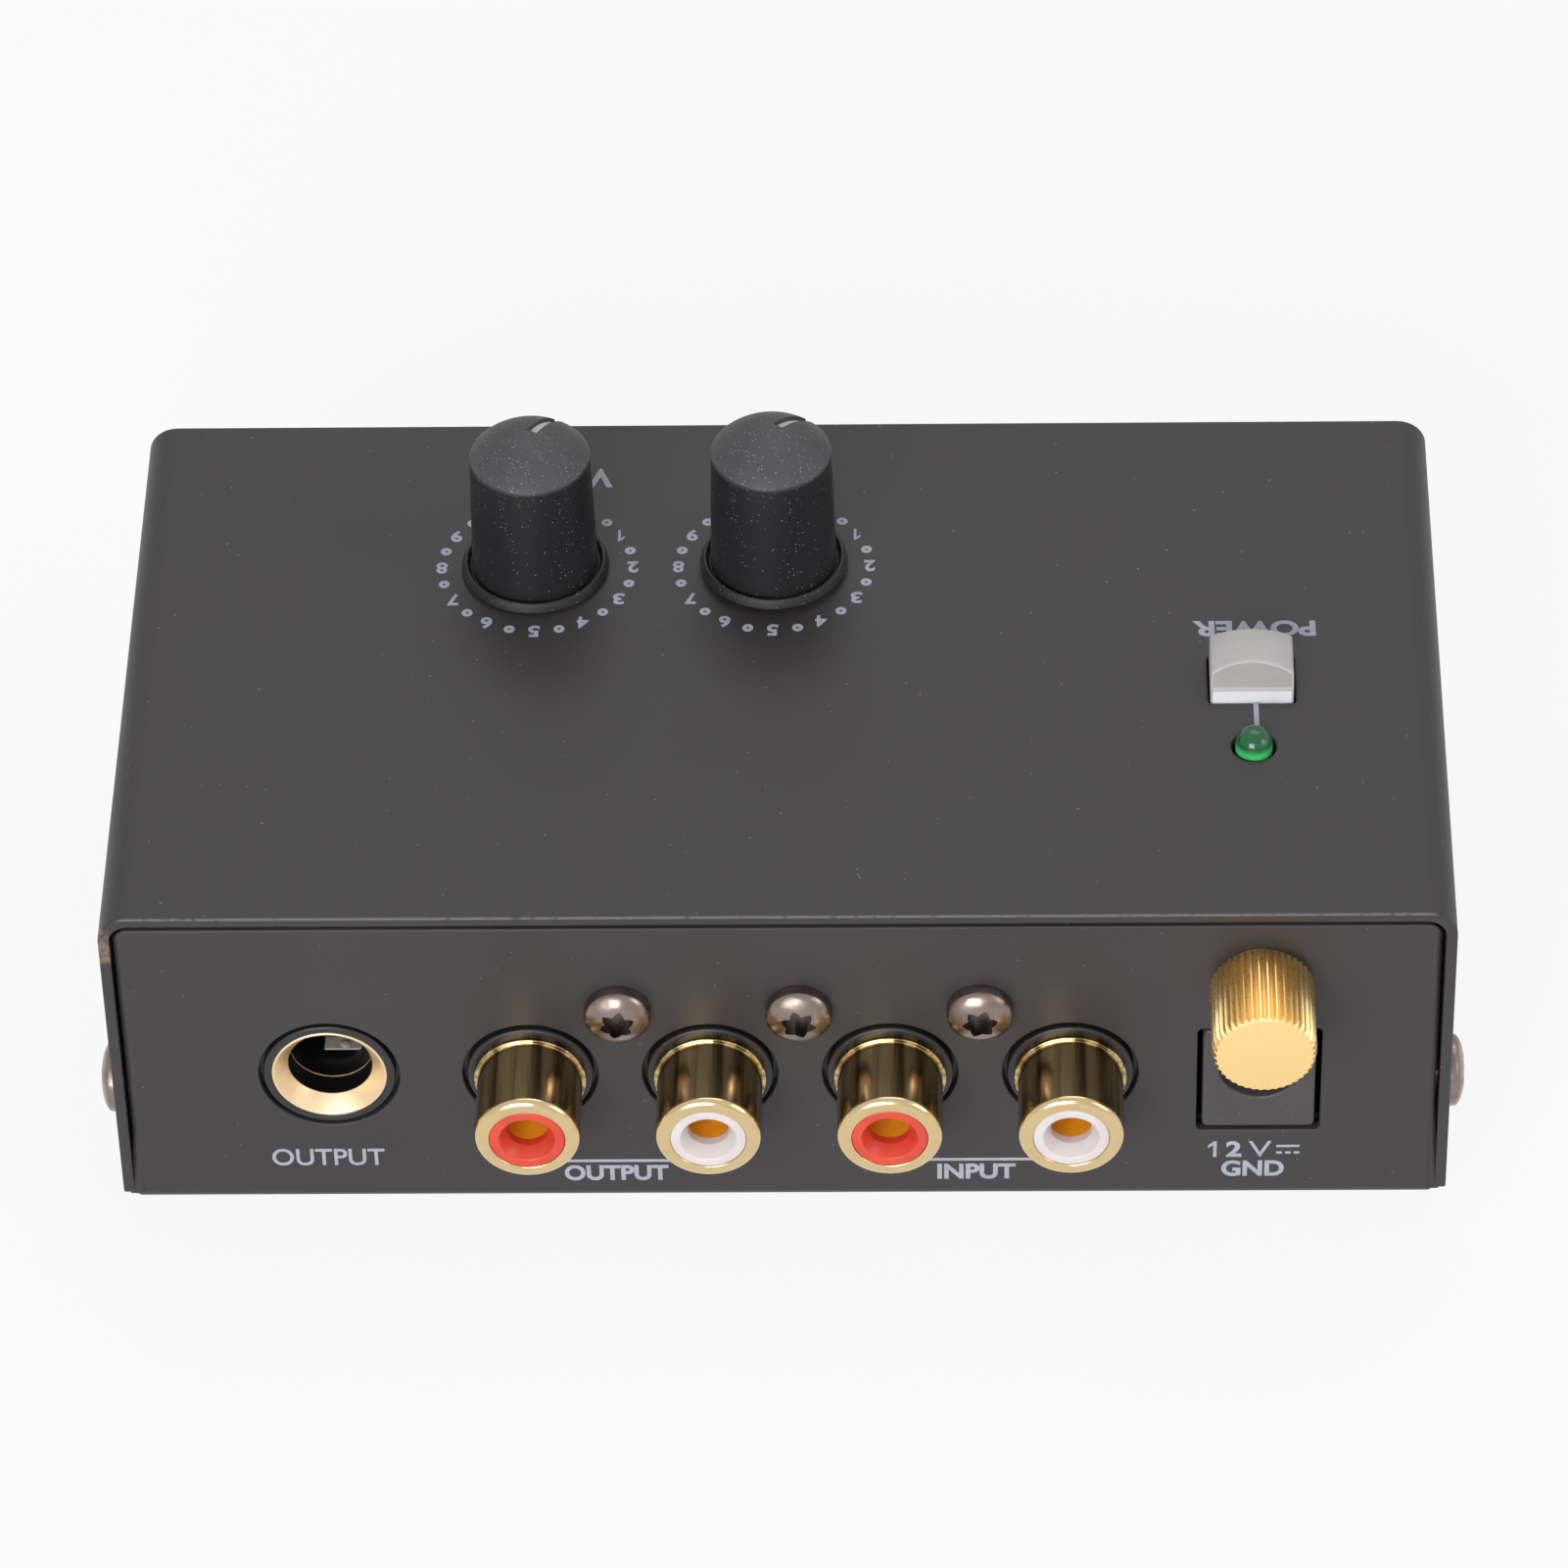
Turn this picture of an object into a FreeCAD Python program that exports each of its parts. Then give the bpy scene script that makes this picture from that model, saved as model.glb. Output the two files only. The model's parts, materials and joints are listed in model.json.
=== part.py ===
"""A small phono preamp in a folded steel case, as a parametric document.

X runs to the right, Y away from the jack panel and Z up. The origin is the centre of the
case's footprint on the surface that the rubber feet stand on. All lengths are millimetres.
"""

import FreeCAD, Part
import math
import operator
import os

import Sketcher
from FreeCAD import Placement, Rotation, Vector

doc = FreeCAD.newDocument("phono_preamp")

SIZES = [
    # Case
    ("case_width", 107.0, "across the cover's sides"),
    ("case_depth", 59.6, "jack panel to rear panel"),
    ("case_height", 31.6, "underside of the base to the top of the cover"),
    ("plate", 0.9, "thickness of the steel sheet"),
    ("cover_bend", 2.5, "outer radius of the cover's two bends"),
    ("cover_lift", 0.8, "cover's lower edges above the underside"),
    ("panel_side_gap", 0.25, "gap between a panel and the cover's side"),
    ("panel_top_gap", 0.35, "gap between a panel and the cover's top"),
    ("base_bend", 1.2, "outer radius of the base's bends"),
    ("panel_corner", 2.0, "radius of the panels' upper corners"),
    ("base_corner", 1.0, "radius of the panels' lower corners"),
    ("flange_length", 8.0, "flange folded back from a panel's side, from the panel's face"),
    ("foot_diameter", 8.0, "rubber foot where it meets the base"),
    ("foot_tip", 7.2, "rubber foot where it meets the table"),
    ("foot_height", 2.0, "rubber foot"),
    ("foot_inset", 10.0, "foot's centre from the case's edges"),
    # Fits
    ("press_gap", 0.01, "radial gap of a pressed seat"),
    ("running_gap", 0.05, "radial gap of a turning or sliding fit"),
    ("passing_gap", 0.3, "radial gap of a part that passes through a hole"),
    ("overrun", 0.5, "a cutting profile past the face it cuts"),
    # Fasteners
    ("side_screw_inset", 4.2, "side screw behind its panel's face"),
    ("side_screw_level", 10.2, "side screw above the underside"),
    ("side_head_diameter", 5.8, "pan head of a side screw"),
    ("side_head_height", 1.4, "pan head of a side screw"),
    ("side_screw_diameter", 2.9, "shank of a side screw"),
    ("side_screw_length", 5.0, "side screw under its head"),
    ("board_screw_head", 5.0, "pan head of a board screw"),
    ("board_head_height", 1.7, "pan head of a board screw"),
    ("board_screw_diameter", 2.9, "shank of a board screw"),
    ("board_screw_reach", 2.6, "how deep a board screw enters its standoff"),
    ("block_screw_head", 5.3, "pan head of a socket block screw"),
    ("block_head_height", 2.0, "pan head of a socket block screw"),
    ("block_screw_diameter", 2.6, "shank of a socket block screw"),
    ("block_screw_length", 8.0, "socket block screw under its head"),
    ("block_screw_level", 21.45, "socket block screw above the underside"),
    # Circuit board
    ("board_level", 6.5, "board's lower face above the underside"),
    ("board_thickness", 1.6, "circuit board"),
    ("board_side_gap", 3.0, "board's sides from the cover's outer faces"),
    ("board_front_gap", 0.6, "board's edge behind the jack panel"),
    ("board_rear_gap", 2.2, "board's edge before the rear panel"),
    ("standoff_inset", 3.5, "standoff's centre from the board's sides"),
    ("standoff_step", 6.8, "standoff's centre from the foot beside it, along the depth"),
    ("standoff_diameter", 6.0, "standoff across its corners"),
    ("lead_side", 0.6, "square component lead"),
    ("lead_hole", 1.0, "board's hole for a lead"),
    ("lead_tail", 1.0, "lead past the board's lower face"),
    # Socket block
    ("socket_level", 14.36, "socket centres above the underside"),
    ("socket_start", 16.09, "first socket's centre from the output socket's"),
    ("socket_end", 15.05, "last socket's centre before the power inlet's"),
    ("socket_hole", 10.8, "panel hole round a socket"),
    ("socket_boss", 10.07, "moulded boss in the panel hole"),
    ("boss_proud", 0.2, "boss in front of the panel"),
    ("block_margin", 7.0, "block past the outer sockets' centres"),
    ("block_depth", 10.5, "block behind the panel"),
    ("block_height", 16.9, "block above the board"),
    ("shell_diameter", 8.4, "outer contact of a socket"),
    ("shell_reach", 7.5, "outer contact in front of the panel"),
    ("shell_seat", 4.0, "outer contact behind the boss's face"),
    ("shell_edge", 0.6, "rounding of the outer contact's mouth"),
    ("flange_diameter", 9.0, "step at the foot of the outer contact"),
    ("flange_thickness", 0.6, "step at the foot of the outer contact"),
    ("insulator_diameter", 6.0, "coloured insulator"),
    ("insulator_sink", 0.05, "insulator behind the outer contact's mouth"),
    ("funnel_diameter", 4.5, "mouth of the insulator's funnel"),
    ("funnel_depth", 1.1, "insulator's funnel"),
    ("pin_hole", 3.3, "hole for the plug's centre pin"),
    ("contact_start", 4.2, "centre sleeve behind the insulator's face"),
    ("contact_wall", 0.3, "centre sleeve"),
    ("contact_tail", 2.0, "centre sleeve behind the block"),
    ("contact_end", 1.0, "closed end of the centre sleeve"),
    # 6.35 mm output socket
    ("jack_inset", 17.45, "output socket's centre from the cover's left face"),
    ("jack_hole", 11.3, "panel hole of the output socket"),
    ("jack_nose", 10.58, "black nose in the panel hole"),
    ("jack_ferrule", 9.25, "gold ferrule in the nose"),
    ("jack_ferrule_length", 8.0, "gold ferrule"),
    ("jack_bore", 6.7, "ferrule's bore for a 6.35 mm plug"),
    ("jack_funnel_depth", 1.3, "ferrule's conical mouth"),
    ("jack_barrel", 7.4, "bore behind the ferrule"),
    ("jack_barrel_depth", 24.0, "bore from the nose's face"),
    ("jack_width", 15.2, "output socket's body"),
    ("jack_height", 12.6, "output socket's body above the board"),
    ("jack_depth", 26.0, "output socket's body behind the panel"),
    ("leaf_width", 2.4, "spring leaf in the output socket"),
    ("leaf_thickness", 0.35, "spring leaf in the output socket"),
    ("leaf_slot_reach", 5.4, "leaf slot from the bore's axis"),
    ("leaf_slot_width", 2.8, "leaf slot"),
    ("leaf_slot_start", 9.5, "leaf slot behind the panel"),
    ("leaf_slot_length", 13.0, "leaf slot along the bore"),
    ("leaf_slot_root", 3.0, "leaf slot's inner end from the bore's axis"),
    ("leaf_slack", 1.0, "leaf shorter than its slot"),
    ("leaf_dip", 2.7, "leaf's bend from the bore's axis"),
    ("ferrule_lip", 0.2, "flat rim of the ferrule's mouth"),
    ("jack_lead_pitch", 5.0, "output socket's leads"),
    ("jack_lead_inset", 3.0, "output socket's leads from its rear"),
    # Power inlet
    ("inlet_inset", 15.3, "power inlet's centre from the cover's right face"),
    ("inlet_width", 9.0, "power inlet's body"),
    ("inlet_height", 10.7, "power inlet's body above the board"),
    ("inlet_depth", 14.2, "power inlet's body behind the panel's face"),
    ("inlet_gap", 0.45, "panel cut-out round the power inlet"),
    ("inlet_bore", 6.4, "socket for the power plug's barrel"),
    ("inlet_bore_level", 6.5, "socket's centre above the board"),
    ("inlet_bore_depth", 10.0, "socket for the power plug's barrel"),
    ("inlet_pin", 2.1, "centre pin of the power inlet"),
    ("inlet_pin_sink", 0.8, "centre pin behind the inlet's face"),
    ("inlet_corner", 0.5, "rounded corner of the inlet's face"),
    ("inlet_pin_chamfer", 0.3, "chamfer of the centre pin"),
    ("inlet_rear_lead", 13.5, "rear lead behind the panel's face"),
    ("inlet_middle_lead", 7.5, "middle lead behind the panel's face"),
    ("inlet_side_lead", 3.5, "side lead from the inlet's middle"),
    # Ground terminal
    ("ground_drop", 0.25, "ground terminal below the middle of the room over the inlet"),
    ("stud_diameter", 3.9, "ground stud"),
    ("stud_reach", 6.4, "ground stud in front of the panel"),
    ("stud_tail", 5.5, "ground stud behind the panel"),
    ("washer_diameter", 7.0, "ground washer"),
    ("washer_thickness", 0.5, "ground washer"),
    ("nut_diameter", 8.0, "thumb nut over its teeth"),
    ("nut_length", 7.8, "thumb nut"),
    ("nut_teeth", 40.0, "straight teeth round the thumb nut"),
    ("tooth_height", 0.3, "thumb nut's tooth"),
    ("nut_chamfer", 0.35, "chamfer of the thumb nut's outer end"),
    ("nut_bore_depth", 6.6, "blind bore of the thumb nut"),
    ("lock_nut_flats", 7.0, "lock nut across its flats"),
    ("lock_nut_thickness", 3.0, "lock nut behind the panel"),
    # Rotary controls
    ("knob_left", -20.35, "centre of the left knob"),
    ("knob_pitch", 19.6, "from knob to knob"),
    ("knob_back", 41.6, "knob centres behind the jack panel's face"),
    ("knob_skirt", 12.2, "knob's skirt at the bottom"),
    ("skirt_crest", 11.5, "knob's skirt at its upper edge"),
    ("skirt_height", 0.8, "knob's skirt"),
    ("skirt_land", 0.2, "flat crest of the skirt"),
    ("skirt_groove", 0.3, "groove's floor above the knob's bottom"),
    ("skirt_foot", 0.15, "slant at the foot of the knob's body"),
    ("knob_root", 10.35, "knob's body above the skirt"),
    ("knob_crown", 9.8, "knob's body at the dome's edge"),
    ("knob_side", 11.85, "dome's edge above the knob's bottom"),
    ("knob_dome", 2.25, "dome above its edge"),
    ("knob_edge", 0.35, "rounding between body and dome"),
    ("knob_float_left", 0.25, "left knob above the cover"),
    ("knob_float_right", 0.55, "right knob above the cover"),
    ("pointer_width", 0.9, "pointer notch"),
    ("pointer_depth_in", 0.15, "pointer notch at the dome's centre"),
    ("pointer_depth_out", 0.4, "pointer notch at the dome's edge"),
    ("pointer_left", 62.0, "left pointer's angle from the X axis"),
    ("pointer_right", 50.0, "right pointer's angle from the X axis"),
    ("shaft_diameter", 6.0, "control's shaft"),
    ("shaft_flat", 1.5, "shaft's flat from its axis"),
    ("shaft_grip", 8.5, "shaft inside its knob"),
    ("shaft_end_room", 0.5, "knob's bore past the shaft's end"),
    ("shaft_collar", 7.4, "collar that keeps the shaft in its control"),
    ("collar_thickness", 1.5, "shaft's collar"),
    ("shaft_hole", 7.8, "cover hole round a shaft"),
    ("pot_width", 9.8, "control's body"),
    ("pot_length", 11.4, "control's body along the depth"),
    ("pot_height", 9.0, "control's body above the board"),
    ("bushing_diameter", 7.8, "control's bushing"),
    ("bushing_height", 5.0, "control's bushing"),
    ("pot_floor", 2.0, "control's body under the shaft"),
    ("terminal_pitch", 2.5, "control's terminals"),
    ("pot_lead_rise", 1.5, "control's leads above the board"),
    # Power button
    ("button_inset", 15.5, "power button's centre from the cover's right face"),
    ("button_width", 6.7, "power button"),
    ("button_depth", 5.4, "power button along the depth"),
    ("button_front", 24.75, "button's front face behind the jack panel's face"),
    ("button_gap", 0.25, "cover cut-out round the button"),
    ("button_side", 2.35, "button's sides above the cover"),
    ("button_crown", 0.8, "arch of the button's top"),
    ("button_lip", 1.3, "upright front face above the cover"),
    ("button_slope", 1.25, "rise of the front slope for each millimetre of run"),
    ("button_stem", 9.6, "button below the cover's top"),
    ("plunger_side", 4.0, "square plunger"),
    ("plunger_grip", 4.0, "plunger inside the button"),
    ("switch_side", 8.0, "square body of the switch"),
    ("switch_height", 9.0, "switch above the board"),
    ("switch_floor", 2.0, "switch's floor under the spring"),
    ("spring_room", 2.4, "plunger's foot above the switch's floor"),
    ("spring_diameter", 2.2, "spring over its wire"),
    ("spring_wire", 0.3, "spring's wire"),
    ("switch_lead_pitch", 2.0, "switch's leads"),
    ("switch_lead_rise", 1.0, "switch's leads above the board"),
    ("spring_hole", 2.6, "blind hole for the spring in the plunger"),
    ("spring_hole_depth", 4.0, "blind hole for the spring in the plunger"),
    # Indicator
    ("led_back", 19.5, "indicator behind the jack panel's face"),
    ("led_diameter", 3.0, "indicator"),
    ("led_flange", 3.8, "indicator's flange"),
    ("led_flange_thickness", 1.0, "indicator's flange"),
    ("led_rise", 1.77, "indicator's tip above the cover"),
    ("led_length", 5.3, "indicator from flange to tip"),
    ("led_lead_pitch", 2.54, "indicator's leads"),
    # Small components
    ("component_gap", 4.4, "first row's middle behind the sockets' contacts"),
    ("component_left", -21.5, "left end of the rows"),
    ("component_row", 8.0, "from row to row"),
    ("resistor_step", 14.4, "resistors behind the first row's middle"),
    ("chip_length", 4.9, "amplifier chip"),
    ("chip_width", 3.9, "amplifier chip"),
    ("chip_height", 1.5, "amplifier chip"),
    ("chip_lift", 0.15, "amplifier chip above the board"),
    ("chip_pitch", 10.0, "from chip to chip"),
    ("chip_inset", 3.0, "first chip from the row's left end"),
    ("leg_pitch", 1.27, "from leg to leg"),
    ("leg_width", 0.4, "chip's leg"),
    ("leg_reach", 1.0, "chip's leg beside the chip"),
    ("leg_height", 0.8, "chip's leg"),
    ("can_start", 31.5, "first capacitor from the row's left end"),
    ("can_diameter", 6.3, "electrolytic capacitor"),
    ("can_height", 11.0, "electrolytic capacitor"),
    ("can_groove", 0.2, "rolled groove of the capacitor"),
    ("can_pitch", 8.0, "from capacitor to capacitor"),
    ("film_width", 3.0, "film capacitor"),
    ("film_length", 7.2, "film capacitor"),
    ("film_height", 6.5, "film capacitor"),
    ("film_pitch", 7.4, "from film capacitor to film capacitor"),
    ("resistor_length", 2.0, "resistor"),
    ("resistor_width", 1.25, "resistor"),
    ("resistor_height", 0.55, "resistor"),
    ("resistor_pitch", 4.5, "from resistor to resistor"),
    ("regulator_start", 45.4, "voltage regulator from the rows' left end"),
    ("regulator_width", 7.0, "voltage regulator"),
    ("regulator_length", 3.6, "voltage regulator without its tab"),
    ("regulator_height", 1.7, "voltage regulator"),
    ("regulator_tab", 3.0, "voltage regulator's tab"),
    ("tab_thickness", 0.25, "voltage regulator's tab"),
]


class Size:
    """A value together with the sheet formula that gives it."""

    def __init__(self, value, formula):
        self.value = float(value)
        self.formula = formula

    def joined(self, sign, work, other):
        other = as_size(other)
        return Size(work(self.value, other.value), f"({self.formula} {sign} {other.formula})")

    def __add__(self, other):
        return self.joined("+", operator.add, other)

    def __radd__(self, other):
        return as_size(other) + self

    def __sub__(self, other):
        return self.joined("-", operator.sub, other)

    def __rsub__(self, other):
        return as_size(other) - self

    def __mul__(self, other):
        return self.joined("*", operator.mul, other)

    def __rmul__(self, other):
        return as_size(other) * self

    def __truediv__(self, other):
        return self.joined("/", operator.truediv, other)

    def __neg__(self):
        return Size(-self.value, f"(-{self.formula})")

    def root(self):
        return Size(math.sqrt(self.value), f"sqrt({self.formula})")


def as_size(number):
    """A plain number is a size that no cell sets."""
    return number if isinstance(number, Size) else Size(number, f"({float(number)})")


class Dimensions:
    """Reads each size of the sheet by its name."""

    def __init__(self, sheet, rows):
        for name, _, _ in rows:
            setattr(self, name, Size(sheet.get(name), f"{sheet.Name}.{name}"))


def fill_sheet(rows):
    """The sheet has a note, a value and a name for each driving size."""
    sheet = doc.addObject("Spreadsheet::Sheet", "sizes")
    for row, (name, value, note) in enumerate(rows, start=1):
        sheet.set(f"A{row}", note)
        sheet.set(f"B{row}", str(value))
        sheet.setAlias(f"B{row}", name)
    doc.recompute()
    return sheet


def bind(thing, formulas):
    """Ties properties of an object to sheet formulas."""
    for name, size in formulas.items():
        thing.setExpression(name, as_size(size).formula)


def place(thing, x=0, y=0, z=0):
    bind(thing, {"Placement.Base.x": x, "Placement.Base.y": y, "Placement.Base.z": z})
    return thing


def outward(thing):
    """Turns a piece's own Z axis out of the jack panel."""
    thing.Placement = Placement(Vector(), Rotation(Vector(1, 0, 0), 90))
    return thing


def new_body(label):
    body = doc.addObject("PartDesign::Body", label)
    body.Label = label
    return body


def new_sketch(body, role, offset=0):
    """A sketch on one of the body's own planes, moved along that plane's normal."""
    sketch = body.newObject("Sketcher::SketchObject", f"{body.Label}_sketch")
    planes = [item for item in body.Origin.OriginFeatures if item.Role == f"{role}_Plane"]
    sketch.AttachmentSupport = [(planes[0], "")]
    sketch.MapMode = "FlatFace"
    bind(sketch, {"AttachmentOffset.Base.z": offset})
    return sketch


def hold(sketch, kind, size, *where):
    """A driving constraint whose value is a sheet formula."""
    size = as_size(size)
    index = sketch.addConstraint(Sketcher.Constraint(kind, *where, size.value))
    sketch.setExpression(f"Constraints[{index}]", size.formula)


def hold_point(sketch, edge, end, x, y):
    hold(sketch, "DistanceX", x, -1, 1, edge, end)
    hold(sketch, "DistanceY", y, -1, 1, edge, end)


def draw_arc(sketch, start, finish, centre):
    """The arc of less than a half circle between two points; returns its two ends in order."""
    middle = Vector(as_size(centre[0]).value, as_size(centre[1]).value)
    first, last = start - middle, finish - middle
    anticlockwise = first.cross(last).z > 0
    if not anticlockwise:
        first, last = last, first
    angles = [math.atan2(ray.y, ray.x) for ray in (first, last)]
    circle = Part.Circle(middle, Vector(0, 0, 1), first.Length)
    sketch.addGeometry(Part.ArcOfCircle(circle, *angles))
    return (1, 2) if anticlockwise else (2, 1)


def add_outline(sketch, corners, arcs=None):
    """A closed outline. arcs gives the centre of each edge that is an arc, by its first corner."""
    arcs = arcs or {}
    base = sketch.GeometryCount
    count = len(corners)
    points = [Vector(as_size(x).value, as_size(y).value) for x, y in corners]
    ends = []
    for index, point in enumerate(points):
        following = points[(index + 1) % count]
        if index in arcs:
            ends.append(draw_arc(sketch, point, following, arcs[index]))
        else:
            sketch.addGeometry(Part.LineSegment(point, following))
            ends.append((1, 2))
    for index in range(count):
        follower = (index + 1) % count
        where = (base + index, ends[index][1], base + follower, ends[follower][0])
        sketch.addConstraint(Sketcher.Constraint("Coincident", *where))
    for index, (x, y) in enumerate(corners):
        hold_point(sketch, base + index, ends[index][0], x, y)
    for index, (x, y) in arcs.items():
        level = abs(points[index].y - points[(index + 1) % count].y) < 1e-9
        kind, size = ("DistanceY", y) if level else ("DistanceX", x)
        hold(sketch, kind, size, -1, 1, base + index, 3)


def add_rectangle(sketch, left, bottom, right, top):
    add_outline(sketch, [(left, bottom), (right, bottom), (right, top), (left, top)])


def add_circle(sketch, x, y, diameter):
    x, y, diameter = as_size(x), as_size(y), as_size(diameter)
    circle = Part.Circle(Vector(x.value, y.value), Vector(0, 0, 1), diameter.value / 2)
    edge = sketch.addGeometry(circle)
    hold_point(sketch, edge, 3, x, y)
    hold(sketch, "Diameter", diameter, edge)


def pad(body, sketch, length, both_ways=False, backwards=False):
    """Adds material along the sketch's normal, against it, or half each way."""
    feature = body.newObject("PartDesign::Pad", f"{body.Label}_pad")
    feature.Profile = sketch
    feature.SideType = "Symmetric" if both_ways else "One side"
    feature.Reversed = backwards
    bind(feature, {"Length": length})
    return finish_feature(body, feature, operator.gt)


def pocket(body, sketch, length, both_ways=False, forwards=False):
    """Takes material away against the sketch's normal, along it, or half each way."""
    feature = body.newObject("PartDesign::Pocket", f"{body.Label}_pocket")
    feature.Profile = sketch
    feature.SideType = "Symmetric" if both_ways else "One side"
    feature.Reversed = forwards
    bind(feature, {"Length": length})
    return finish_feature(body, feature, operator.lt)


def finish_feature(body, feature, compare):
    """The feature must have changed the body's volume the way it was meant to."""
    before = feature.BaseFeature.Shape.Volume if feature.BaseFeature else 0.0
    doc.recompute()
    if not compare(feature.Shape.Volume, before):
        raise ValueError(f"{feature.Label} left {body.Label} at {feature.Shape.Volume:.3f} mm3")
    return feature


def rounded(body, radius, wanted):
    """Rounds the edges of the body's last feature that the test picks."""
    base = body.Tip
    names = [f"Edge{i}" for i, edge in enumerate(base.Shape.Edges, start=1) if wanted(edge)]
    if not names:
        raise ValueError(f"{body.Label} has no edge to round")
    feature = body.newObject("PartDesign::Fillet", f"{body.Label}_fillet")
    feature.Base = (base, names)
    bind(feature, {"Radius": radius})
    doc.recompute()
    return feature


def near(value, size):
    return abs(value - as_size(size).value) < 1e-4


def along(edge, axis):
    """Whether an edge is straight and runs along one of the three axes."""
    if edge.Curve.TypeId != "Part::GeomLine":
        return False
    return abs(abs(getattr(edge.Curve.Direction, axis)) - 1) < 1e-6


def turned(label, corners, arcs=None):
    """A body turned about its own Z axis; corners are (radius, height)."""
    body = new_body(label)
    sketch = new_sketch(body, "XZ")
    add_outline(sketch, corners, arcs)
    feature = body.newObject("PartDesign::Revolution", f"{label}_revolution")
    feature.Profile = sketch
    feature.ReferenceAxis = (sketch, ["V_Axis"])
    feature.Angle = 360
    finish_feature(body, feature, operator.gt)
    return body


def block(label, low, extents):
    """A rectangular block from its lowest corner."""
    box = doc.addObject("Part::Box", label)
    box.Label = label
    bind(box, dict(zip(("Length", "Width", "Height"), extents)))
    return place(box, *low)


def rod(label, foot, diameter, length):
    """An upright cylinder from the centre of its foot."""
    cylinder = doc.addObject("Part::Cylinder", label)
    cylinder.Label = label
    bind(cylinder, {"Radius": as_size(diameter) / 2, "Height": length})
    return place(cylinder, *foot)


def together(label, members):
    """Separate solids that share one node."""
    group = doc.addObject("Part::Compound", label)
    group.Label = label
    group.Links = members
    return group


def pan_screw(label, head_diameter, head_height, diameter, length):
    """A pan head screw; its head's seat is at the origin and its head points along Z."""
    head = head_diameter / 2
    crown = head * 0.45
    rim = head_height * 0.35
    rise = head_height - rim
    centre = (crown * crown - head * head + rise * rise) / (rise * 2) + rim
    shank = diameter / 2
    corners = [
        (0, -length),
        (shank, -length),
        (shank, 0),
        (head, 0),
        (head, rim),
        (crown, head_height),
        (0, head_height),
    ]
    return turned(label, corners, {4: (0, centre)})


def plain_screw(label, length):
    """A board screw with a flat head, seated like the pan head screws."""
    head = sizes.board_screw_head / 2
    shank = sizes.board_screw_diameter / 2
    height = sizes.board_head_height
    corners = [(0, -length), (shank, -length), (shank, 0), (head, 0), (head, height), (0, height)]
    return turned(label, corners)


sizes = Dimensions(fill_sheet(SIZES), SIZES)

# Planes and places that several pieces share
front = -sizes.case_depth / 2
back = sizes.case_depth / 2
half_width = sizes.case_width / 2
under = sizes.foot_height
top = under + sizes.case_height
panel_inside = front + sizes.plate
panel_half = half_width - sizes.plate - sizes.panel_side_gap
panel_top = top - sizes.plate - sizes.panel_top_gap
board_bottom = under + sizes.board_level
board_top = board_bottom + sizes.board_thickness
board_front = panel_inside + sizes.board_front_gap
socket_z = under + sizes.socket_level
block_screw_z = under + sizes.block_screw_level
ground_z = (board_top + sizes.inlet_height + top - sizes.plate) / 2 - sizes.ground_drop
side_screw_z = under + sizes.side_screw_level
side_screw_y = back - sizes.side_screw_inset
jack_place = sizes.jack_inset - half_width
inlet_place = half_width - sizes.inlet_inset
button_place = half_width - sizes.button_inset
first_socket = jack_place + sizes.socket_start
socket_pitch = (inlet_place - sizes.socket_end - first_socket) / 3
socket_places = [first_socket + socket_pitch * index for index in range(4)]
block_screw_places = [x + socket_pitch / 2 for x in socket_places[:3]]
knob_y = front + sizes.knob_back
knob_places = [sizes.knob_left, sizes.knob_left + sizes.knob_pitch]
button_y = front + sizes.button_front + sizes.button_depth / 2
led_y = front + sizes.led_back
board_half = half_width - sizes.board_side_gap
foot_x = half_width - sizes.foot_inset
foot_y = back - sizes.foot_inset
standoff_places = [
    ((board_half - sizes.standoff_inset) * across, (foot_y - sizes.standoff_step) * along_depth)
    for across in (-1, 1)
    for along_depth in (-1, 1)
]
contact_end_y = panel_inside + sizes.block_depth + sizes.contact_tail
component_y = contact_end_y + sizes.component_gap

# Where leads pass through the board; each component adds its own
lead_spots = []
solder_length = sizes.board_thickness + sizes.lead_tail


def lead(label, x, y, length_above=0):
    """A square lead through the board, which gets a hole for it."""
    lead_spots.append((x, y))
    half = sizes.lead_side / 2
    low = (x - half, y - half, board_bottom - sizes.lead_tail)
    return block(label, low, (half * 2, half * 2, solder_length + length_above))


# Case

def make_top_cover():
    """Top and two sides, folded from one sheet."""
    body = new_body("top_cover")
    sketch = new_sketch(body, "XZ")
    low = under + sizes.cover_lift
    inner = half_width - sizes.plate
    corners = [
        (-half_width, low),
        (-half_width, top),
        (half_width, top),
        (half_width, low),
        (inner, low),
        (inner, top - sizes.plate),
        (-inner, top - sizes.plate),
        (-inner, low),
    ]
    add_outline(sketch, corners)
    pad(body, sketch, sizes.case_depth, both_ways=True)

    def bend(edge, height):
        return along(edge, "y") and near(edge.CenterOfMass.z, height)

    rounded(body, sizes.cover_bend, lambda edge: bend(edge, top))
    inner_bend = sizes.cover_bend - sizes.plate
    rounded(body, inner_bend, lambda edge: bend(edge, top - sizes.plate))

    holes = new_sketch(body, "XY", top)
    for x in knob_places:
        add_circle(holes, x, knob_y, sizes.shaft_hole)
    add_circle(holes, button_place, led_y, sizes.led_diameter + sizes.passing_gap * 2)
    half = sizes.button_width / 2 + sizes.button_gap
    reach = sizes.button_depth / 2 + sizes.button_gap
    left, right = button_place - half, button_place + half
    add_rectangle(holes, left, button_y - reach, right, button_y + reach)
    pocket(body, holes, sizes.plate)

    screws = new_sketch(body, "YZ")
    for side in (-1, 1):
        hole = sizes.side_screw_diameter + sizes.passing_gap * 2
        add_circle(screws, side_screw_y * side, side_screw_z, hole)
    pocket(body, screws, sizes.case_width, both_ways=True)
    return body


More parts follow.
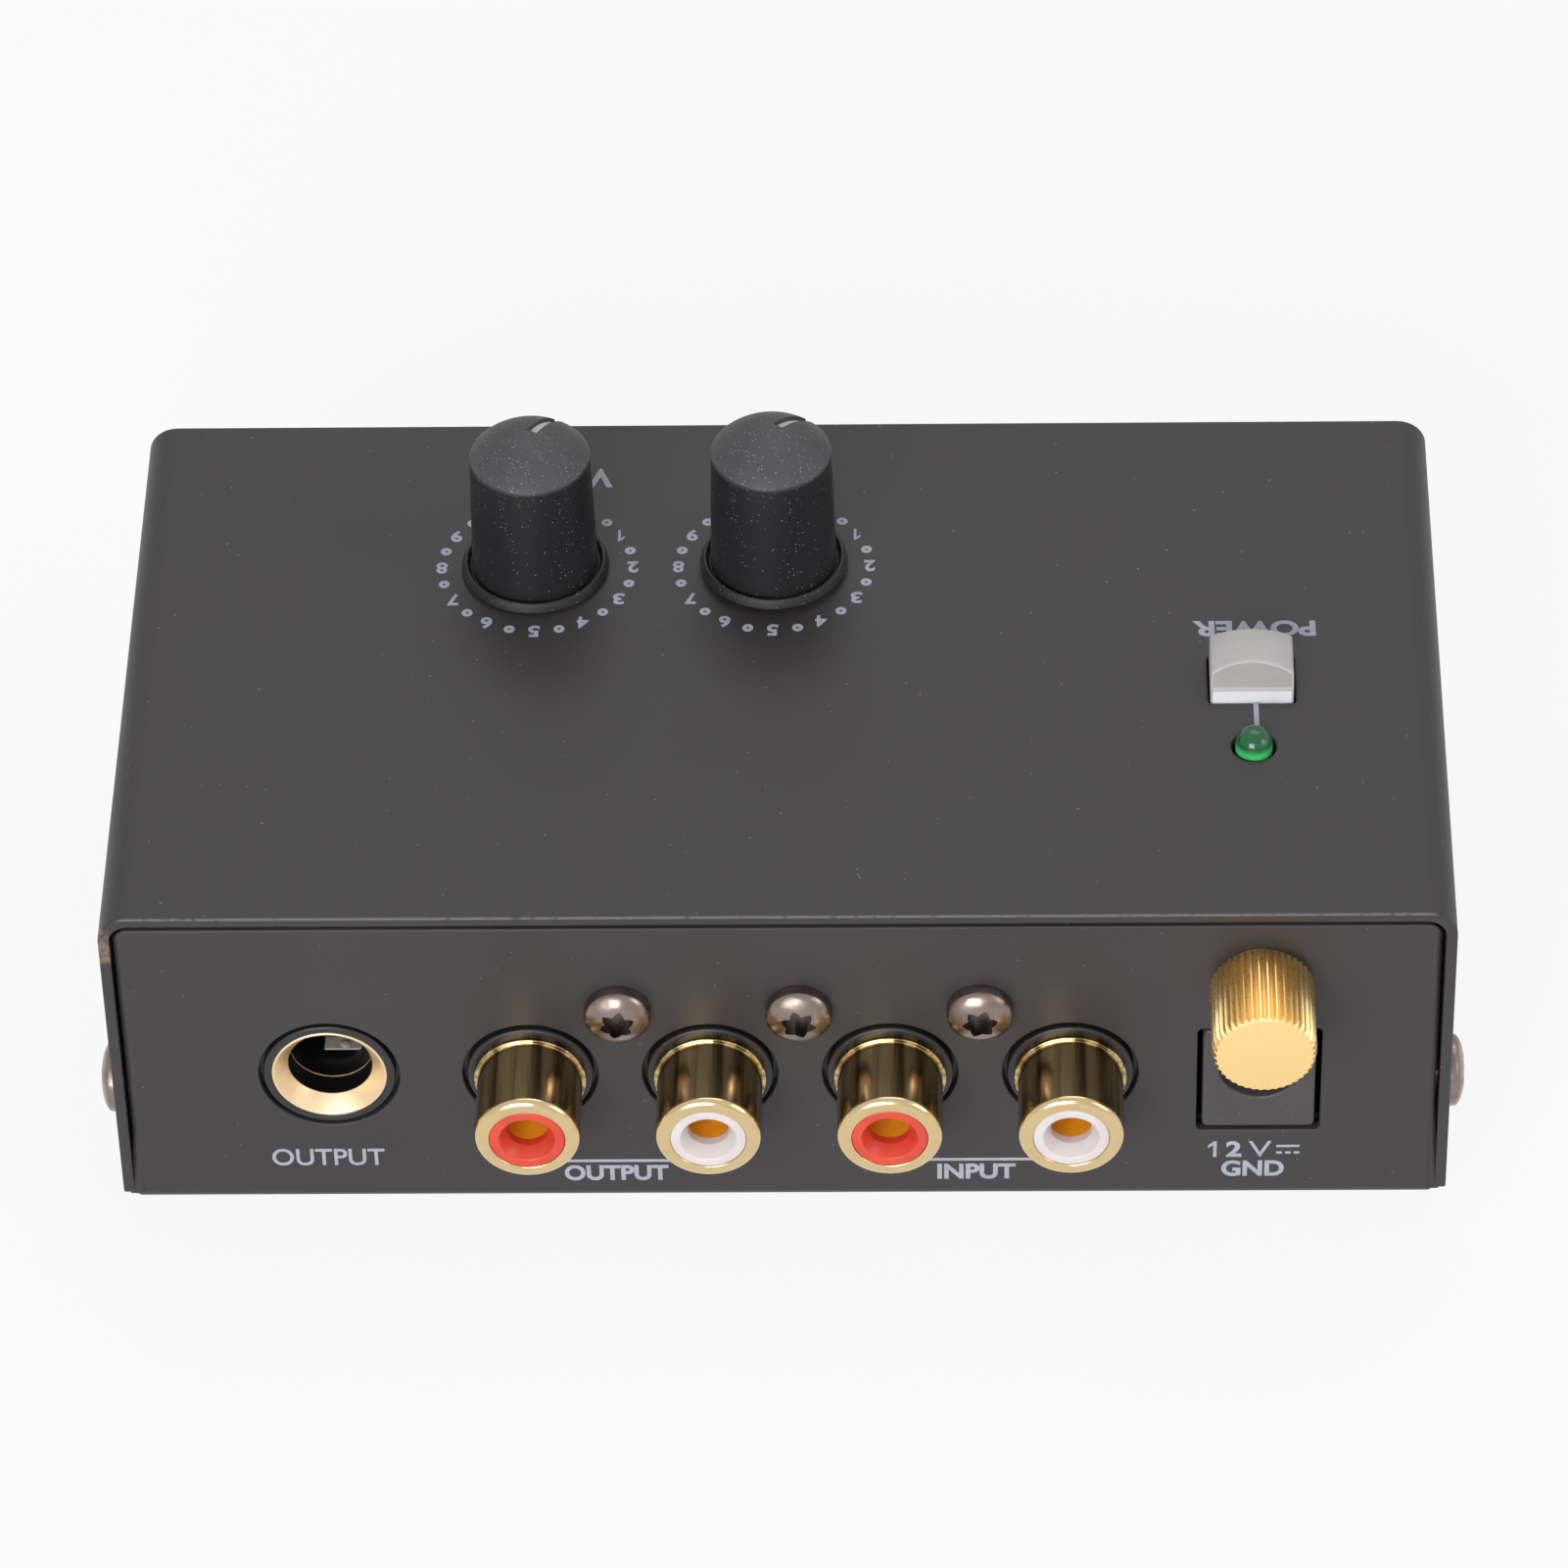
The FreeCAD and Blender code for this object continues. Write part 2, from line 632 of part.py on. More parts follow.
def add_flanges(body):
    """Flanges folded back from the panels' sides, which the side screws enter."""
    flat = panel_half - sizes.base_bend
    inner = panel_half - sizes.plate
    low = under + sizes.base_bend
    height = panel_top - sizes.panel_corner - low
    for near_face in (front, back - sizes.plate):
        strips = new_sketch(body, "XZ", -near_face)
        add_rectangle(strips, -panel_half, low, -flat, low + height)
        add_rectangle(strips, flat, low, panel_half, low + height)
        pocket(body, strips, sizes.plate)
    for end in (-1, 1):
        face = back * end
        bend = (back - sizes.base_bend) * end
        tip = (back - sizes.flange_length) * end
        sketch = new_sketch(body, "XY", low)
        for side in (-1, 1):
            corners = [
                (flat * side, face),
                (panel_half * side, bend),
                (panel_half * side, tip),
                (inner * side, tip),
                (inner * side, bend),
                (flat * side, face - sizes.plate * end),
            ]
            centre = (flat * side, bend)
            add_outline(sketch, corners, {0: centre, 4: centre})
        pad(body, sketch, height)


def round_lower_corners(body):
    """Rounds the lower corners of both panels as they are seen from the front."""
    corner = sizes.base_corner
    for near_face in (front, back - sizes.base_bend):
        sketch = new_sketch(body, "XZ", -near_face)
        for side in (-1, 1):
            edge = panel_half * side
            start = (panel_half - corner) * side
            corners = [(edge, under), (edge, under + corner), (start, under)]
            add_outline(sketch, corners, {1: (start, under + corner)})
        pocket(body, sketch, sizes.base_bend)


def cut_panel(body):
    """Openings of the jack panel."""
    holes = new_sketch(body, "XZ", -front)
    for x in socket_places:
        add_circle(holes, x, socket_z, sizes.socket_hole)
    for x in block_screw_places:
        hole = sizes.block_screw_diameter + sizes.running_gap * 2
        add_circle(holes, x, block_screw_z, hole)
    add_circle(holes, jack_place, socket_z, sizes.jack_hole)
    stud_hole = sizes.stud_diameter + sizes.running_gap * 2
    add_circle(holes, inlet_place, ground_z, stud_hole)
    half = sizes.inlet_width / 2 + sizes.inlet_gap
    low = board_top - sizes.inlet_gap
    high = board_top + sizes.inlet_height + sizes.inlet_gap / 2
    add_rectangle(holes, inlet_place - half, low, inlet_place + half, high)
    pocket(body, holes, sizes.plate)


def make_base_chassis():
    """Floor and two flanged panels, folded from one sheet."""
    body = new_body("base_chassis")
    sketch = new_sketch(body, "YZ")
    corners = [
        (front, panel_top),
        (front, under),
        (back, under),
        (back, panel_top),
        (back - sizes.plate, panel_top),
        (back - sizes.plate, under + sizes.plate),
        (front + sizes.plate, under + sizes.plate),
        (front + sizes.plate, panel_top),
    ]
    add_outline(sketch, corners)
    pad(body, sketch, panel_half * 2, both_ways=True)

    def bend(edge, height):
        return along(edge, "x") and near(edge.CenterOfMass.z, height)

    rounded(body, sizes.base_bend, lambda edge: bend(edge, under))
    inner_bend = sizes.base_bend - sizes.plate
    rounded(body, inner_bend, lambda edge: bend(edge, under + sizes.plate))
    panel_corners = lambda edge: along(edge, "y") and near(edge.BoundBox.ZMax, panel_top)
    rounded(body, sizes.panel_corner, panel_corners)

    strips = new_sketch(body, "XY", under + sizes.plate)
    flat = panel_half - sizes.base_bend
    for side in (-1, 1):
        ends = sorted((flat * side, panel_half * side), key=lambda size: size.value)
        add_rectangle(strips, ends[0], front + sizes.base_bend, ends[1], back - sizes.base_bend)
    pocket(body, strips, sizes.plate)
    add_flanges(body)
    round_lower_corners(body)

    screws = new_sketch(body, "YZ")
    for side in (-1, 1):
        hole = sizes.side_screw_diameter + sizes.press_gap * 2
        add_circle(screws, side_screw_y * side, side_screw_z, hole)
    pocket(body, screws, sizes.case_width, both_ways=True)

    floor = new_sketch(body, "XY", under + sizes.plate)
    for x, y in standoff_places:
        add_circle(floor, x, y, sizes.board_screw_diameter + sizes.passing_gap * 2)
    pocket(body, floor, sizes.plate)
    cut_panel(body)
    return body


def make_side_screws():
    """Two pan head screws in each side of the cover."""
    screws = []
    for side in (-1, 1):
        for end in (-1, 1):
            screw = pan_screw(
                f"side_screw_{len(screws) + 1}",
                sizes.side_head_diameter,
                sizes.side_head_height,
                sizes.side_screw_diameter,
                sizes.side_screw_length,
            )
            screw.Placement = Placement(Vector(), Rotation(Vector(0, 1, 0), 90 * side))
            screws.append(place(screw, half_width * side, side_screw_y * end, side_screw_z))
    return together("side_screws", screws)


def make_rubber_feet():
    feet = []
    for side in (-1, 1):
        for end in (-1, 1):
            label = f"rubber_foot_{len(feet) + 1}"
            foot = doc.addObject("Part::Cone", label)
            foot.Label = label
            radii = {"Radius1": sizes.foot_tip / 2, "Radius2": sizes.foot_diameter / 2}
            bind(foot, {**radii, "Height": sizes.foot_height})
            feet.append(place(foot, foot_x * side, foot_y * end, 0))
    return together("rubber_feet", feet)


# Circuit board and what stands on it

def make_board_mounting():
    """Standoffs on the floor, with screws through the board and through the floor."""
    standoffs = []
    upper = []
    lower = []
    floor = under + sizes.plate
    height = board_bottom - floor
    grip = sizes.board_screw_diameter + sizes.press_gap * 2
    for number, (x, y) in enumerate(standoff_places, start=1):
        body = new_body(f"standoff_{number}")
        hexagon = new_sketch(body, "XY")
        corner = sizes.standoff_diameter / 2
        apothem = corner * math.sqrt(3) / 2
        half = corner / 2
        outline = [(corner, 0), (half, apothem), (-half, apothem)]
        add_outline(hexagon, outline + [(-x_side, -y_side) for x_side, y_side in outline])
        add_circle(hexagon, 0, 0, grip)
        pad(body, hexagon, height)
        standoffs.append(place(body, x, y, floor))
        reach = sizes.board_screw_reach
        screw = plain_screw(f"board_screw_{number}", reach + sizes.board_thickness)
        upper.append(place(screw, x, y, board_top))
        screw = plain_screw(f"floor_screw_{number}", reach + sizes.plate)
        screw.Placement = Placement(Vector(), Rotation(Vector(1, 0, 0), 180))
        lower.append(place(screw, x, y, under))
    together("board_standoffs", standoffs)
    together("board_screws", upper)
    together("floor_screws", lower)


def make_circuit_board():
    """Made after every component, so that each lead has its hole."""
    body = new_body("circuit_board")
    outline = new_sketch(body, "XY", board_bottom)
    board_back = back - sizes.plate - sizes.board_rear_gap
    add_rectangle(outline, -board_half, board_front, board_half, board_back)
    pad(body, outline, sizes.board_thickness)
    holes = new_sketch(body, "XY", board_top)
    for x, y in lead_spots:
        add_circle(holes, x, y, sizes.lead_hole)
    for x, y in standoff_places:
        add_circle(holes, x, y, sizes.board_screw_diameter + sizes.passing_gap * 2)
    pocket(body, holes, sizes.board_thickness)
    return body


def make_chips():
    """Two amplifier chips, each on two rows of legs."""
    chips = []
    extents = (sizes.chip_length, sizes.chip_width, sizes.chip_height)
    leg = (sizes.leg_width, sizes.leg_reach, sizes.leg_height)
    half = sizes.chip_width / 2
    low_y = component_y - half
    for number in range(2):
        low_x = sizes.component_left + sizes.chip_inset + sizes.chip_pitch * number
        low = (low_x, low_y, board_top + sizes.chip_lift)
        chips.append(block(f"chip_{number + 1}", low, extents))
        middle = low_x + sizes.chip_length / 2 - sizes.leg_width / 2
        for column in range(4):
            leg_x = middle + sizes.leg_pitch * (column * 2 - 3) / 2
            for row, leg_y in enumerate((low_y - sizes.leg_reach, low_y + sizes.chip_width)):
                label = f"chip_leg_{number}_{column}_{row}"
                chips.append(block(label, (leg_x, leg_y, board_top), leg))
    together("opamp_chips", chips)


def make_capacitors():
    """Round cans with a rolled groove near the foot, and a row of film capacitors."""
    cans = []
    radius = sizes.can_diameter / 2
    groove = sizes.can_groove
    corners = [
        (0, 0),
        (radius, 0),
        (radius, groove * 8),
        (radius - groove, groove * 10),
        (radius, groove * 12),
        (radius, sizes.can_height),
        (0, sizes.can_height),
    ]
    for number in range(4):
        x = sizes.component_left + sizes.can_start + sizes.can_pitch * (number % 2)
        y = component_y + sizes.component_row * (number // 2)
        cans.append(place(turned(f"can_{number + 1}", corners), x, y, board_top))
    together("electrolytic_capacitors", cans)

    films = []
    extents = (sizes.film_width, sizes.film_length, sizes.film_height)
    low_y = component_y + sizes.component_row - sizes.film_length / 2
    for number in range(4):
        low = (sizes.component_left + sizes.film_pitch * number, low_y, board_top)
        films.append(block(f"film_{number + 1}", low, extents))
    together("film_capacitors", films)


def make_surface_components():
    """A row of resistors, and a voltage regulator with a soldered tab."""
    resistors = []
    low_y = component_y + sizes.resistor_step
    extents = (sizes.resistor_length, sizes.resistor_width, sizes.resistor_height)
    for number in range(10):
        low = (sizes.component_left + sizes.resistor_pitch * number, low_y, board_top)
        resistors.append(block(f"resistor_{number + 1}", low, extents))
    together("resistors", resistors)

    x = sizes.component_left + sizes.regulator_start
    extents = (sizes.regulator_length, sizes.regulator_width, sizes.regulator_height)
    case = block("regulator_case", (x, low_y, board_top), extents)
    tab_x = x + sizes.regulator_length
    tab_y = low_y + sizes.tab_thickness
    tab_width = sizes.regulator_width - sizes.tab_thickness * 2
    extents = (sizes.regulator_tab, tab_width, sizes.tab_thickness)
    tab = block("regulator_tab", (tab_x, tab_y, board_top), extents)
    regulator = doc.addObject("Part::MultiFuse", "voltage_regulator")
    regulator.Label = "voltage_regulator"
    regulator.Shapes = [case, tab]


# Socket block with four sockets

def make_socket_block():
    """One moulding with a boss for each socket and a bore for each screw."""
    body = new_body("socket_block")
    left = socket_places[0] - sizes.block_margin
    right = socket_places[-1] + sizes.block_margin
    face = new_sketch(body, "XZ", -panel_inside)
    add_rectangle(face, left, board_top, right, board_top + sizes.block_height)
    pad(body, face, sizes.block_depth, backwards=True)
    bosses = new_sketch(body, "XZ", -panel_inside)
    for x in socket_places:
        add_circle(bosses, x, socket_z, sizes.socket_boss)
    pad(body, bosses, sizes.plate + sizes.boss_proud)
    seats = new_sketch(body, "XZ", -(front - sizes.boss_proud))
    for x in socket_places:
        add_circle(seats, x, socket_z, sizes.shell_diameter + sizes.press_gap * 2)
    pocket(body, seats, sizes.shell_seat)
    sleeves = new_sketch(body, "XZ", -(front - sizes.boss_proud))
    sleeve = sizes.pin_hole + sizes.contact_wall * 2 + sizes.press_gap * 2
    for x in socket_places:
        add_circle(sleeves, x, socket_z, sleeve)
    pocket(body, sleeves, sizes.boss_proud + sizes.plate + sizes.block_depth)
    screws = new_sketch(body, "XZ", -panel_inside)
    for x in block_screw_places:
        hole = sizes.block_screw_diameter + sizes.press_gap * 2
        add_circle(screws, x, block_screw_z, hole)
    pocket(body, screws, sizes.block_screw_length)
    return body


def make_socket_shell(number, x):
    """Gold outer contact: a tube with a step at its foot and a rounded mouth."""
    outer = sizes.shell_diameter / 2
    inner = sizes.insulator_diameter / 2 + sizes.press_gap
    step = sizes.flange_diameter / 2
    foot = sizes.boss_proud
    corners = [
        (inner, foot - sizes.shell_seat),
        (outer, foot - sizes.shell_seat),
        (outer, foot),
        (step, foot),
        (step, foot + sizes.flange_thickness),
        (outer, foot + sizes.flange_thickness),
        (outer, sizes.shell_reach),
        (inner, sizes.shell_reach),
    ]
    body = turned(f"socket_shell_{number}", corners)

    def mouth(edge):
        wide = near(edge.BoundBox.XLength, sizes.shell_diameter)
        return wide and near(edge.CenterOfMass.z, sizes.shell_reach)

    rounded(body, sizes.shell_edge, mouth)
    place(outward(body), x, front, socket_z)


def make_socket_insulator(number, x):
    """Coloured insulator with a funnel that leads the plug's pin in."""
    outer = sizes.insulator_diameter / 2
    hole = sizes.pin_hole / 2
    sleeve = hole + sizes.contact_wall + sizes.press_gap
    face = sizes.shell_reach - sizes.insulator_sink
    foot = sizes.boss_proud - sizes.shell_seat
    corners = [
        (hole, face - sizes.contact_start),
        (hole, face - sizes.funnel_depth),
        (sizes.funnel_diameter / 2, face),
        (outer, face),
        (outer, foot),
        (sleeve, foot),
        (sleeve, face - sizes.contact_start),
    ]
    body = turned(f"socket_insulator_{number}", corners)
    place(outward(body), x, front, socket_z)


def make_socket_contacts():
    """Closed centre sleeves, each resting on a lead from the board."""
    sleeves = []
    hole = sizes.pin_hole / 2
    wall = hole + sizes.contact_wall
    start = sizes.shell_reach - sizes.insulator_sink - sizes.contact_start
    tail = front - contact_end_y
    floor = tail + sizes.contact_end
    corners = [(0, tail), (wall, tail), (wall, start), (hole, start), (hole, floor), (0, floor)]
    lead_y = front - tail - sizes.contact_end
    height = socket_z - wall - board_top
    for number, x in enumerate(socket_places, start=1):
        sleeve = turned(f"sleeve_{number}", corners)
        sleeves.append(place(outward(sleeve), x, front, socket_z))
        sleeves.append(lead(f"sleeve_lead_{number}", x, lead_y, height))
    together("socket_contacts", sleeves)


def make_block_screws():
    """Three screws hold the panel to the socket block, between the sockets."""
    screws = []
    for number, x in enumerate(block_screw_places, start=1):
        screw = pan_screw(
            f"block_screw_{number}",
            sizes.block_screw_head,
            sizes.block_head_height,
            sizes.block_screw_diameter,
            sizes.block_screw_length,
        )
        screws.append(place(outward(screw), x, front, block_screw_z))
    return together("block_screws", screws)


# 6.35 mm output socket

def make_jack_body():
    """Moulded body with a round nose in the panel and slots for three spring leaves."""
    body = new_body("jack_body")
    half = sizes.jack_width / 2
    left, right = jack_place - half, jack_place + half
    face = new_sketch(body, "XZ", -panel_inside)
    add_rectangle(face, left, board_top, right, board_top + sizes.jack_height)
    pad(body, face, sizes.jack_depth, backwards=True)
    nose = new_sketch(body, "XZ", -panel_inside)
    add_circle(nose, jack_place, socket_z, sizes.jack_nose)
    pad(body, nose, sizes.plate)
    barrel = new_sketch(body, "XZ", -front)
    add_circle(barrel, jack_place, socket_z, sizes.jack_barrel)
    pocket(body, barrel, sizes.jack_barrel_depth)
    seat = new_sketch(body, "XZ", -front)
    add_circle(seat, jack_place, socket_z, sizes.jack_ferrule + sizes.press_gap * 2)
    pocket(body, seat, sizes.jack_ferrule_length)
    slots = new_sketch(body, "XZ", -(panel_inside + sizes.leaf_slot_start))
    start = sizes.leaf_slot_root
    reach = sizes.leaf_slot_reach
    side = sizes.leaf_slot_width / 2
    for x, z in ((1, 0), (-1, 0), (0, 1)):
        across = [(start, -side), (reach, -side), (reach, side), (start, side)]
        corners = [
            (jack_place + out * x - over * z, socket_z + out * z + over * x)
            for out, over in across
        ]
        add_outline(slots, corners)
    pocket(body, slots, sizes.leaf_slot_length)
    return body


def make_jack_ferrule():
    """Gold ferrule with a conical mouth and the plug's bore."""
    outer = sizes.jack_ferrule / 2
    bore = sizes.jack_bore / 2
    lip = outer - sizes.ferrule_lip
    corners = [
        (bore, -sizes.jack_ferrule_length),
        (outer, -sizes.jack_ferrule_length),
        (outer, 0),
        (lip, 0),
        (bore, -sizes.jack_funnel_depth),
    ]
    body = turned("jack_ferrule", corners)
    place(outward(body), jack_place, front, socket_z)


def make_jack_contacts():
    """Three bent spring leaves in their slots, and three leads."""
    parts = []
    rest = sizes.leaf_slot_reach
    thick = sizes.leaf_thickness
    length = sizes.leaf_slot_length - sizes.leaf_slack
    bend = length * 0.4
    for number, angle in enumerate((0, 90, 180), start=1):
        leaf = new_body(f"leaf_{number}")
        sketch = new_sketch(leaf, "XZ")
        corners = [
            (rest - thick, 0),
            (rest - thick, -bend * 0.6),
            (sizes.leaf_dip, -length + bend),
            (rest - thick * 2, -length),
            (rest - thick, -length),
            (sizes.leaf_dip + thick, -length + bend),
            (rest, -bend * 0.6),
            (rest, 0),
        ]
        add_outline(sketch, corners)
        pad(leaf, sketch, sizes.leaf_width, both_ways=True)
        tilt = Rotation(Vector(1, 0, 0), 90) * Rotation(Vector(0, 0, 1), angle)
        leaf.Placement = Placement(Vector(), tilt)
        start = panel_inside + sizes.leaf_slot_start
        parts.append(place(leaf, jack_place, start, socket_z))
        lead_x = jack_place + sizes.jack_lead_pitch * (number - 2)
        lead_y = panel_inside + sizes.jack_depth - sizes.jack_lead_inset
        parts.append(lead(f"jack_lead_{number}", lead_x, lead_y))
    together("jack_contacts", parts)


# Power inlet

def make_inlet():
    """Square inlet with a barrel socket, its centre pin and three leads."""
    body = new_body("inlet_body")
    half = sizes.inlet_width / 2
    left, right = inlet_place - half, inlet_place + half
    face = new_sketch(body, "XZ", -front)
    add_rectangle(face, left, board_top, right, board_top + sizes.inlet_height)
    pad(body, face, sizes.inlet_depth, backwards=True)
    corner = lambda edge: along(edge, "y")
    rounded(body, sizes.inlet_corner, corner)
    level = board_top + sizes.inlet_bore_level
    bore = new_sketch(body, "XZ", -front)
    add_circle(bore, inlet_place, level, sizes.inlet_bore)
    pocket(body, bore, sizes.inlet_bore_depth)
    seat = new_sketch(body, "XZ", -front)
    add_circle(seat, inlet_place, level, sizes.inlet_pin + sizes.press_gap * 2)
    pocket(body, seat, sizes.inlet_depth)

    radius = sizes.inlet_pin / 2
    tip = -sizes.inlet_pin_sink
    chamfer = sizes.inlet_pin_chamfer
    corners = [
        (0, -sizes.inlet_depth),
        (radius, -sizes.inlet_depth),
        (radius, tip - chamfer),
        (radius - chamfer, tip),
        (0, tip),
    ]
    pin = turned("inlet_pin", corners)
    place(outward(pin), inlet_place, front, level)

    middle = (sizes.inlet_rear_lead + sizes.inlet_middle_lead) / 2
    spots = [(0, sizes.inlet_rear_lead), (0, sizes.inlet_middle_lead)]
    spots.append((-sizes.inlet_side_lead, middle))
    leads = []
    for number, (x, y) in enumerate(spots, start=1):
        leads.append(lead(f"inlet_lead_{number}", inlet_place + x, front + y))
    together("inlet_contacts", leads)


# Ground terminal

def make_ground_terminal():
    """Stud through the panel, lock nut inside, washer and knurled thumb nut outside."""
    stud = rod("ground_stud", (0, 0, 0), sizes.stud_diameter, sizes.stud_reach + sizes.stud_tail)
    stud.Placement = Placement(Vector(), Rotation(Vector(1, 0, 0), 90))
    place(stud, inlet_place, front + sizes.stud_tail, ground_z)

    nut = new_body("ground_lock_nut")
    hexagon = new_sketch(nut, "XY")
    flat = sizes.lock_nut_flats / 2
    half_side = sizes.lock_nut_flats / 2 / math.sqrt(3)
    corner = half_side * 2
    outline = [(corner, 0), (half_side, flat), (-half_side, flat)]
    add_outline(hexagon, outline + [(-x_side, -y_side) for x_side, y_side in outline])
    add_circle(hexagon, 0, 0, sizes.stud_diameter + sizes.press_gap * 2)
    pad(nut, hexagon, sizes.lock_nut_thickness)
    nut_seat = panel_inside + sizes.lock_nut_thickness
    place(outward(nut), inlet_place, nut_seat, ground_z)

    bore = sizes.stud_diameter / 2 + sizes.running_gap
    rim = sizes.washer_diameter / 2
    thick = sizes.washer_thickness
    washer = turned("ground_washer", [(bore, 0), (rim, 0), (rim, thick), (bore, thick)])
    place(outward(washer), inlet_place, front, ground_z)
    make_thumb_nut(bore)


def make_thumb_nut(bore):
    """Closed knurled nut; its teeth are one tooth repeated round the axis."""
    root = sizes.nut_diameter / 2 - sizes.tooth_height
    tip = sizes.nut_diameter / 2
    end = sizes.nut_length
    chamfer = sizes.nut_chamfer
    corners = [
        (bore, 0),
        (root, 0),
        (root, end),
        (0, end),
        (0, sizes.nut_bore_depth),
        (bore, sizes.nut_bore_depth),
    ]
    body = turned("ground_thumb_nut", corners)
    tooth = new_sketch(body, "XY")
    half = sizes.nut_diameter * math.pi / sizes.nut_teeth / 2 * 0.8
    inside = root * 0.97
    add_outline(tooth, [(inside, -half), (root, -half), (tip, 0), (root, half), (inside, half)])
    feature = pad(body, tooth, end)
    pattern = body.newObject("PartDesign::PolarPattern", "ground_thumb_nut_teeth")
    pattern.Originals = [feature]
    axes = [item for item in body.Origin.OriginFeatures if item.Role == "Z_Axis"]
    pattern.Axis = (axes[0], [""])
    pattern.Angle = 360
    bind(pattern, {"Occurrences": sizes.nut_teeth})
    body.Tip = pattern
    finish_feature(body, pattern, operator.gt)
    edge = new_sketch(body, "XZ")
    wide = tip + sizes.overrun
    drop = chamfer + sizes.overrun
    add_outline(edge, [(wide - drop, end), (wide, end), (wide, end - drop)])
    groove = body.newObject("PartDesign::Groove", "ground_thumb_nut_chamfer")
    groove.Profile = edge
    groove.ReferenceAxis = (edge, ["V_Axis"])
    groove.Angle = 360
    finish_feature(body, groove, operator.lt)
    place(outward(body), inlet_place, front - sizes.washer_thickness, ground_z)


# Rotary controls

def add_pointer(body):
    """A notch from the dome's centre to its edge, along the knob's own X axis."""
    apex = sizes.knob_side + sizes.knob_dome
    out = sizes.knob_crown / 2 + sizes.overrun
    notch = new_sketch(body, "XZ")
    corners = [
        (0, apex - sizes.pointer_depth_in),
        (out, sizes.knob_side - sizes.pointer_depth_out),
        (out, apex + 1),
        (0, apex + 1),
    ]
    add_outline(notch, corners)
    pocket(body, notch, sizes.pointer_width, both_ways=True)


def add_flat_bore(body):
    """Bore with a flat for the shaft."""
    radius = sizes.shaft_diameter / 2 + sizes.press_gap
    flat = sizes.shaft_flat + sizes.press_gap
    chord = (radius * radius - flat * flat).root()
    bore = new_sketch(body, "XY")
    corners = [(flat, -chord), (flat, chord), (0, radius), (-radius, 0), (0, -radius)]
    add_outline(bore, corners, {1: (0, 0), 2: (0, 0), 3: (0, 0), 4: (0, 0)})
    pocket(body, bore, sizes.shaft_grip + sizes.shaft_end_room, forwards=True)


def make_knob(name, x, lift, pointer):
    """Skirted knob with a domed top and a pointer notch."""
    crest = sizes.skirt_crest / 2
    root = sizes.knob_root / 2
    crown = sizes.knob_crown / 2
    dome = sizes.knob_dome
    apex = sizes.knob_side + dome
    sphere = (crown * crown + dome * dome) / (dome * 2)
    corners = [
        (0, 0),
        (sizes.knob_skirt / 2, 0),
        (crest, sizes.skirt_height),
        (crest - sizes.skirt_land, sizes.skirt_height),
        (root + sizes.skirt_foot, sizes.skirt_groove),
        (root, sizes.skirt_groove),
        (crown, sizes.knob_side),
        (0, apex),
    ]
    body = turned(f"volume_knob_{name}", corners, {6: (0, apex - sphere)})

    def shoulder(edge):
        wide = near(edge.BoundBox.XLength, sizes.knob_crown)
        return wide and near(edge.CenterOfMass.z, sizes.knob_side)

    rounded(body, sizes.knob_edge, shoulder)
    add_pointer(body)
    add_flat_bore(body)
    body.Placement = Placement(Vector(), Rotation(Vector(0, 0, 1), pointer.value))
    bind(body, {"Placement.Rotation.Angle": pointer})
    place(body, x, knob_y, top + lift)


def make_pot_shaft(name, x, lift, pointer):
    """Round shaft with a flat inside the knob and a collar inside the control."""
    radius = sizes.shaft_diameter / 2
    collar = sizes.shaft_collar / 2
    foot = board_top + sizes.pot_floor
    seat = sizes.running_gap
    height = top + lift + sizes.shaft_grip - foot
    corners = [
        (0, seat),
        (collar, seat),
        (collar, seat + sizes.collar_thickness),
        (radius, seat + sizes.collar_thickness),
        (radius, height),
        (0, height),
    ]
    body = turned(f"pot_shaft_{name}", corners)
    flat = new_sketch(body, "XY", height)
    wide = radius + 1
    add_rectangle(flat, sizes.shaft_flat, -wide, wide, wide)
    pocket(body, flat, sizes.shaft_grip + lift)
    body.Placement = Placement(Vector(), Rotation(Vector(0, 0, 1), pointer.value))
    bind(body, {"Placement.Rotation.Angle": pointer})
    place(body, x, knob_y, foot)


def make_pot_body(name, x):
    """Square control body with a bushing that the shaft turns in."""
    body = new_body(f"pot_body_{name}")
    outline = new_sketch(body, "XY")
    half = sizes.pot_width / 2
    reach = sizes.pot_length / 2
    add_rectangle(outline, -half, -reach, half, reach)
    pad(body, outline, sizes.pot_height)
    bushing = new_sketch(body, "XY", sizes.pot_height)
    add_circle(bushing, 0, 0, sizes.bushing_diameter)
    pad(body, bushing, sizes.bushing_height)
    total = sizes.pot_height + sizes.bushing_height
    bore = new_sketch(body, "XY", total)
    add_circle(bore, 0, 0, sizes.shaft_diameter + sizes.running_gap * 2)
    pocket(body, bore, total - sizes.pot_floor)
    room = sizes.collar_thickness + sizes.running_gap * 2
    chamber = new_sketch(body, "XY", sizes.pot_floor + room)
    add_circle(chamber, 0, 0, sizes.shaft_collar + sizes.running_gap * 2)
    pocket(body, chamber, room)
    place(body, x, knob_y, board_top)


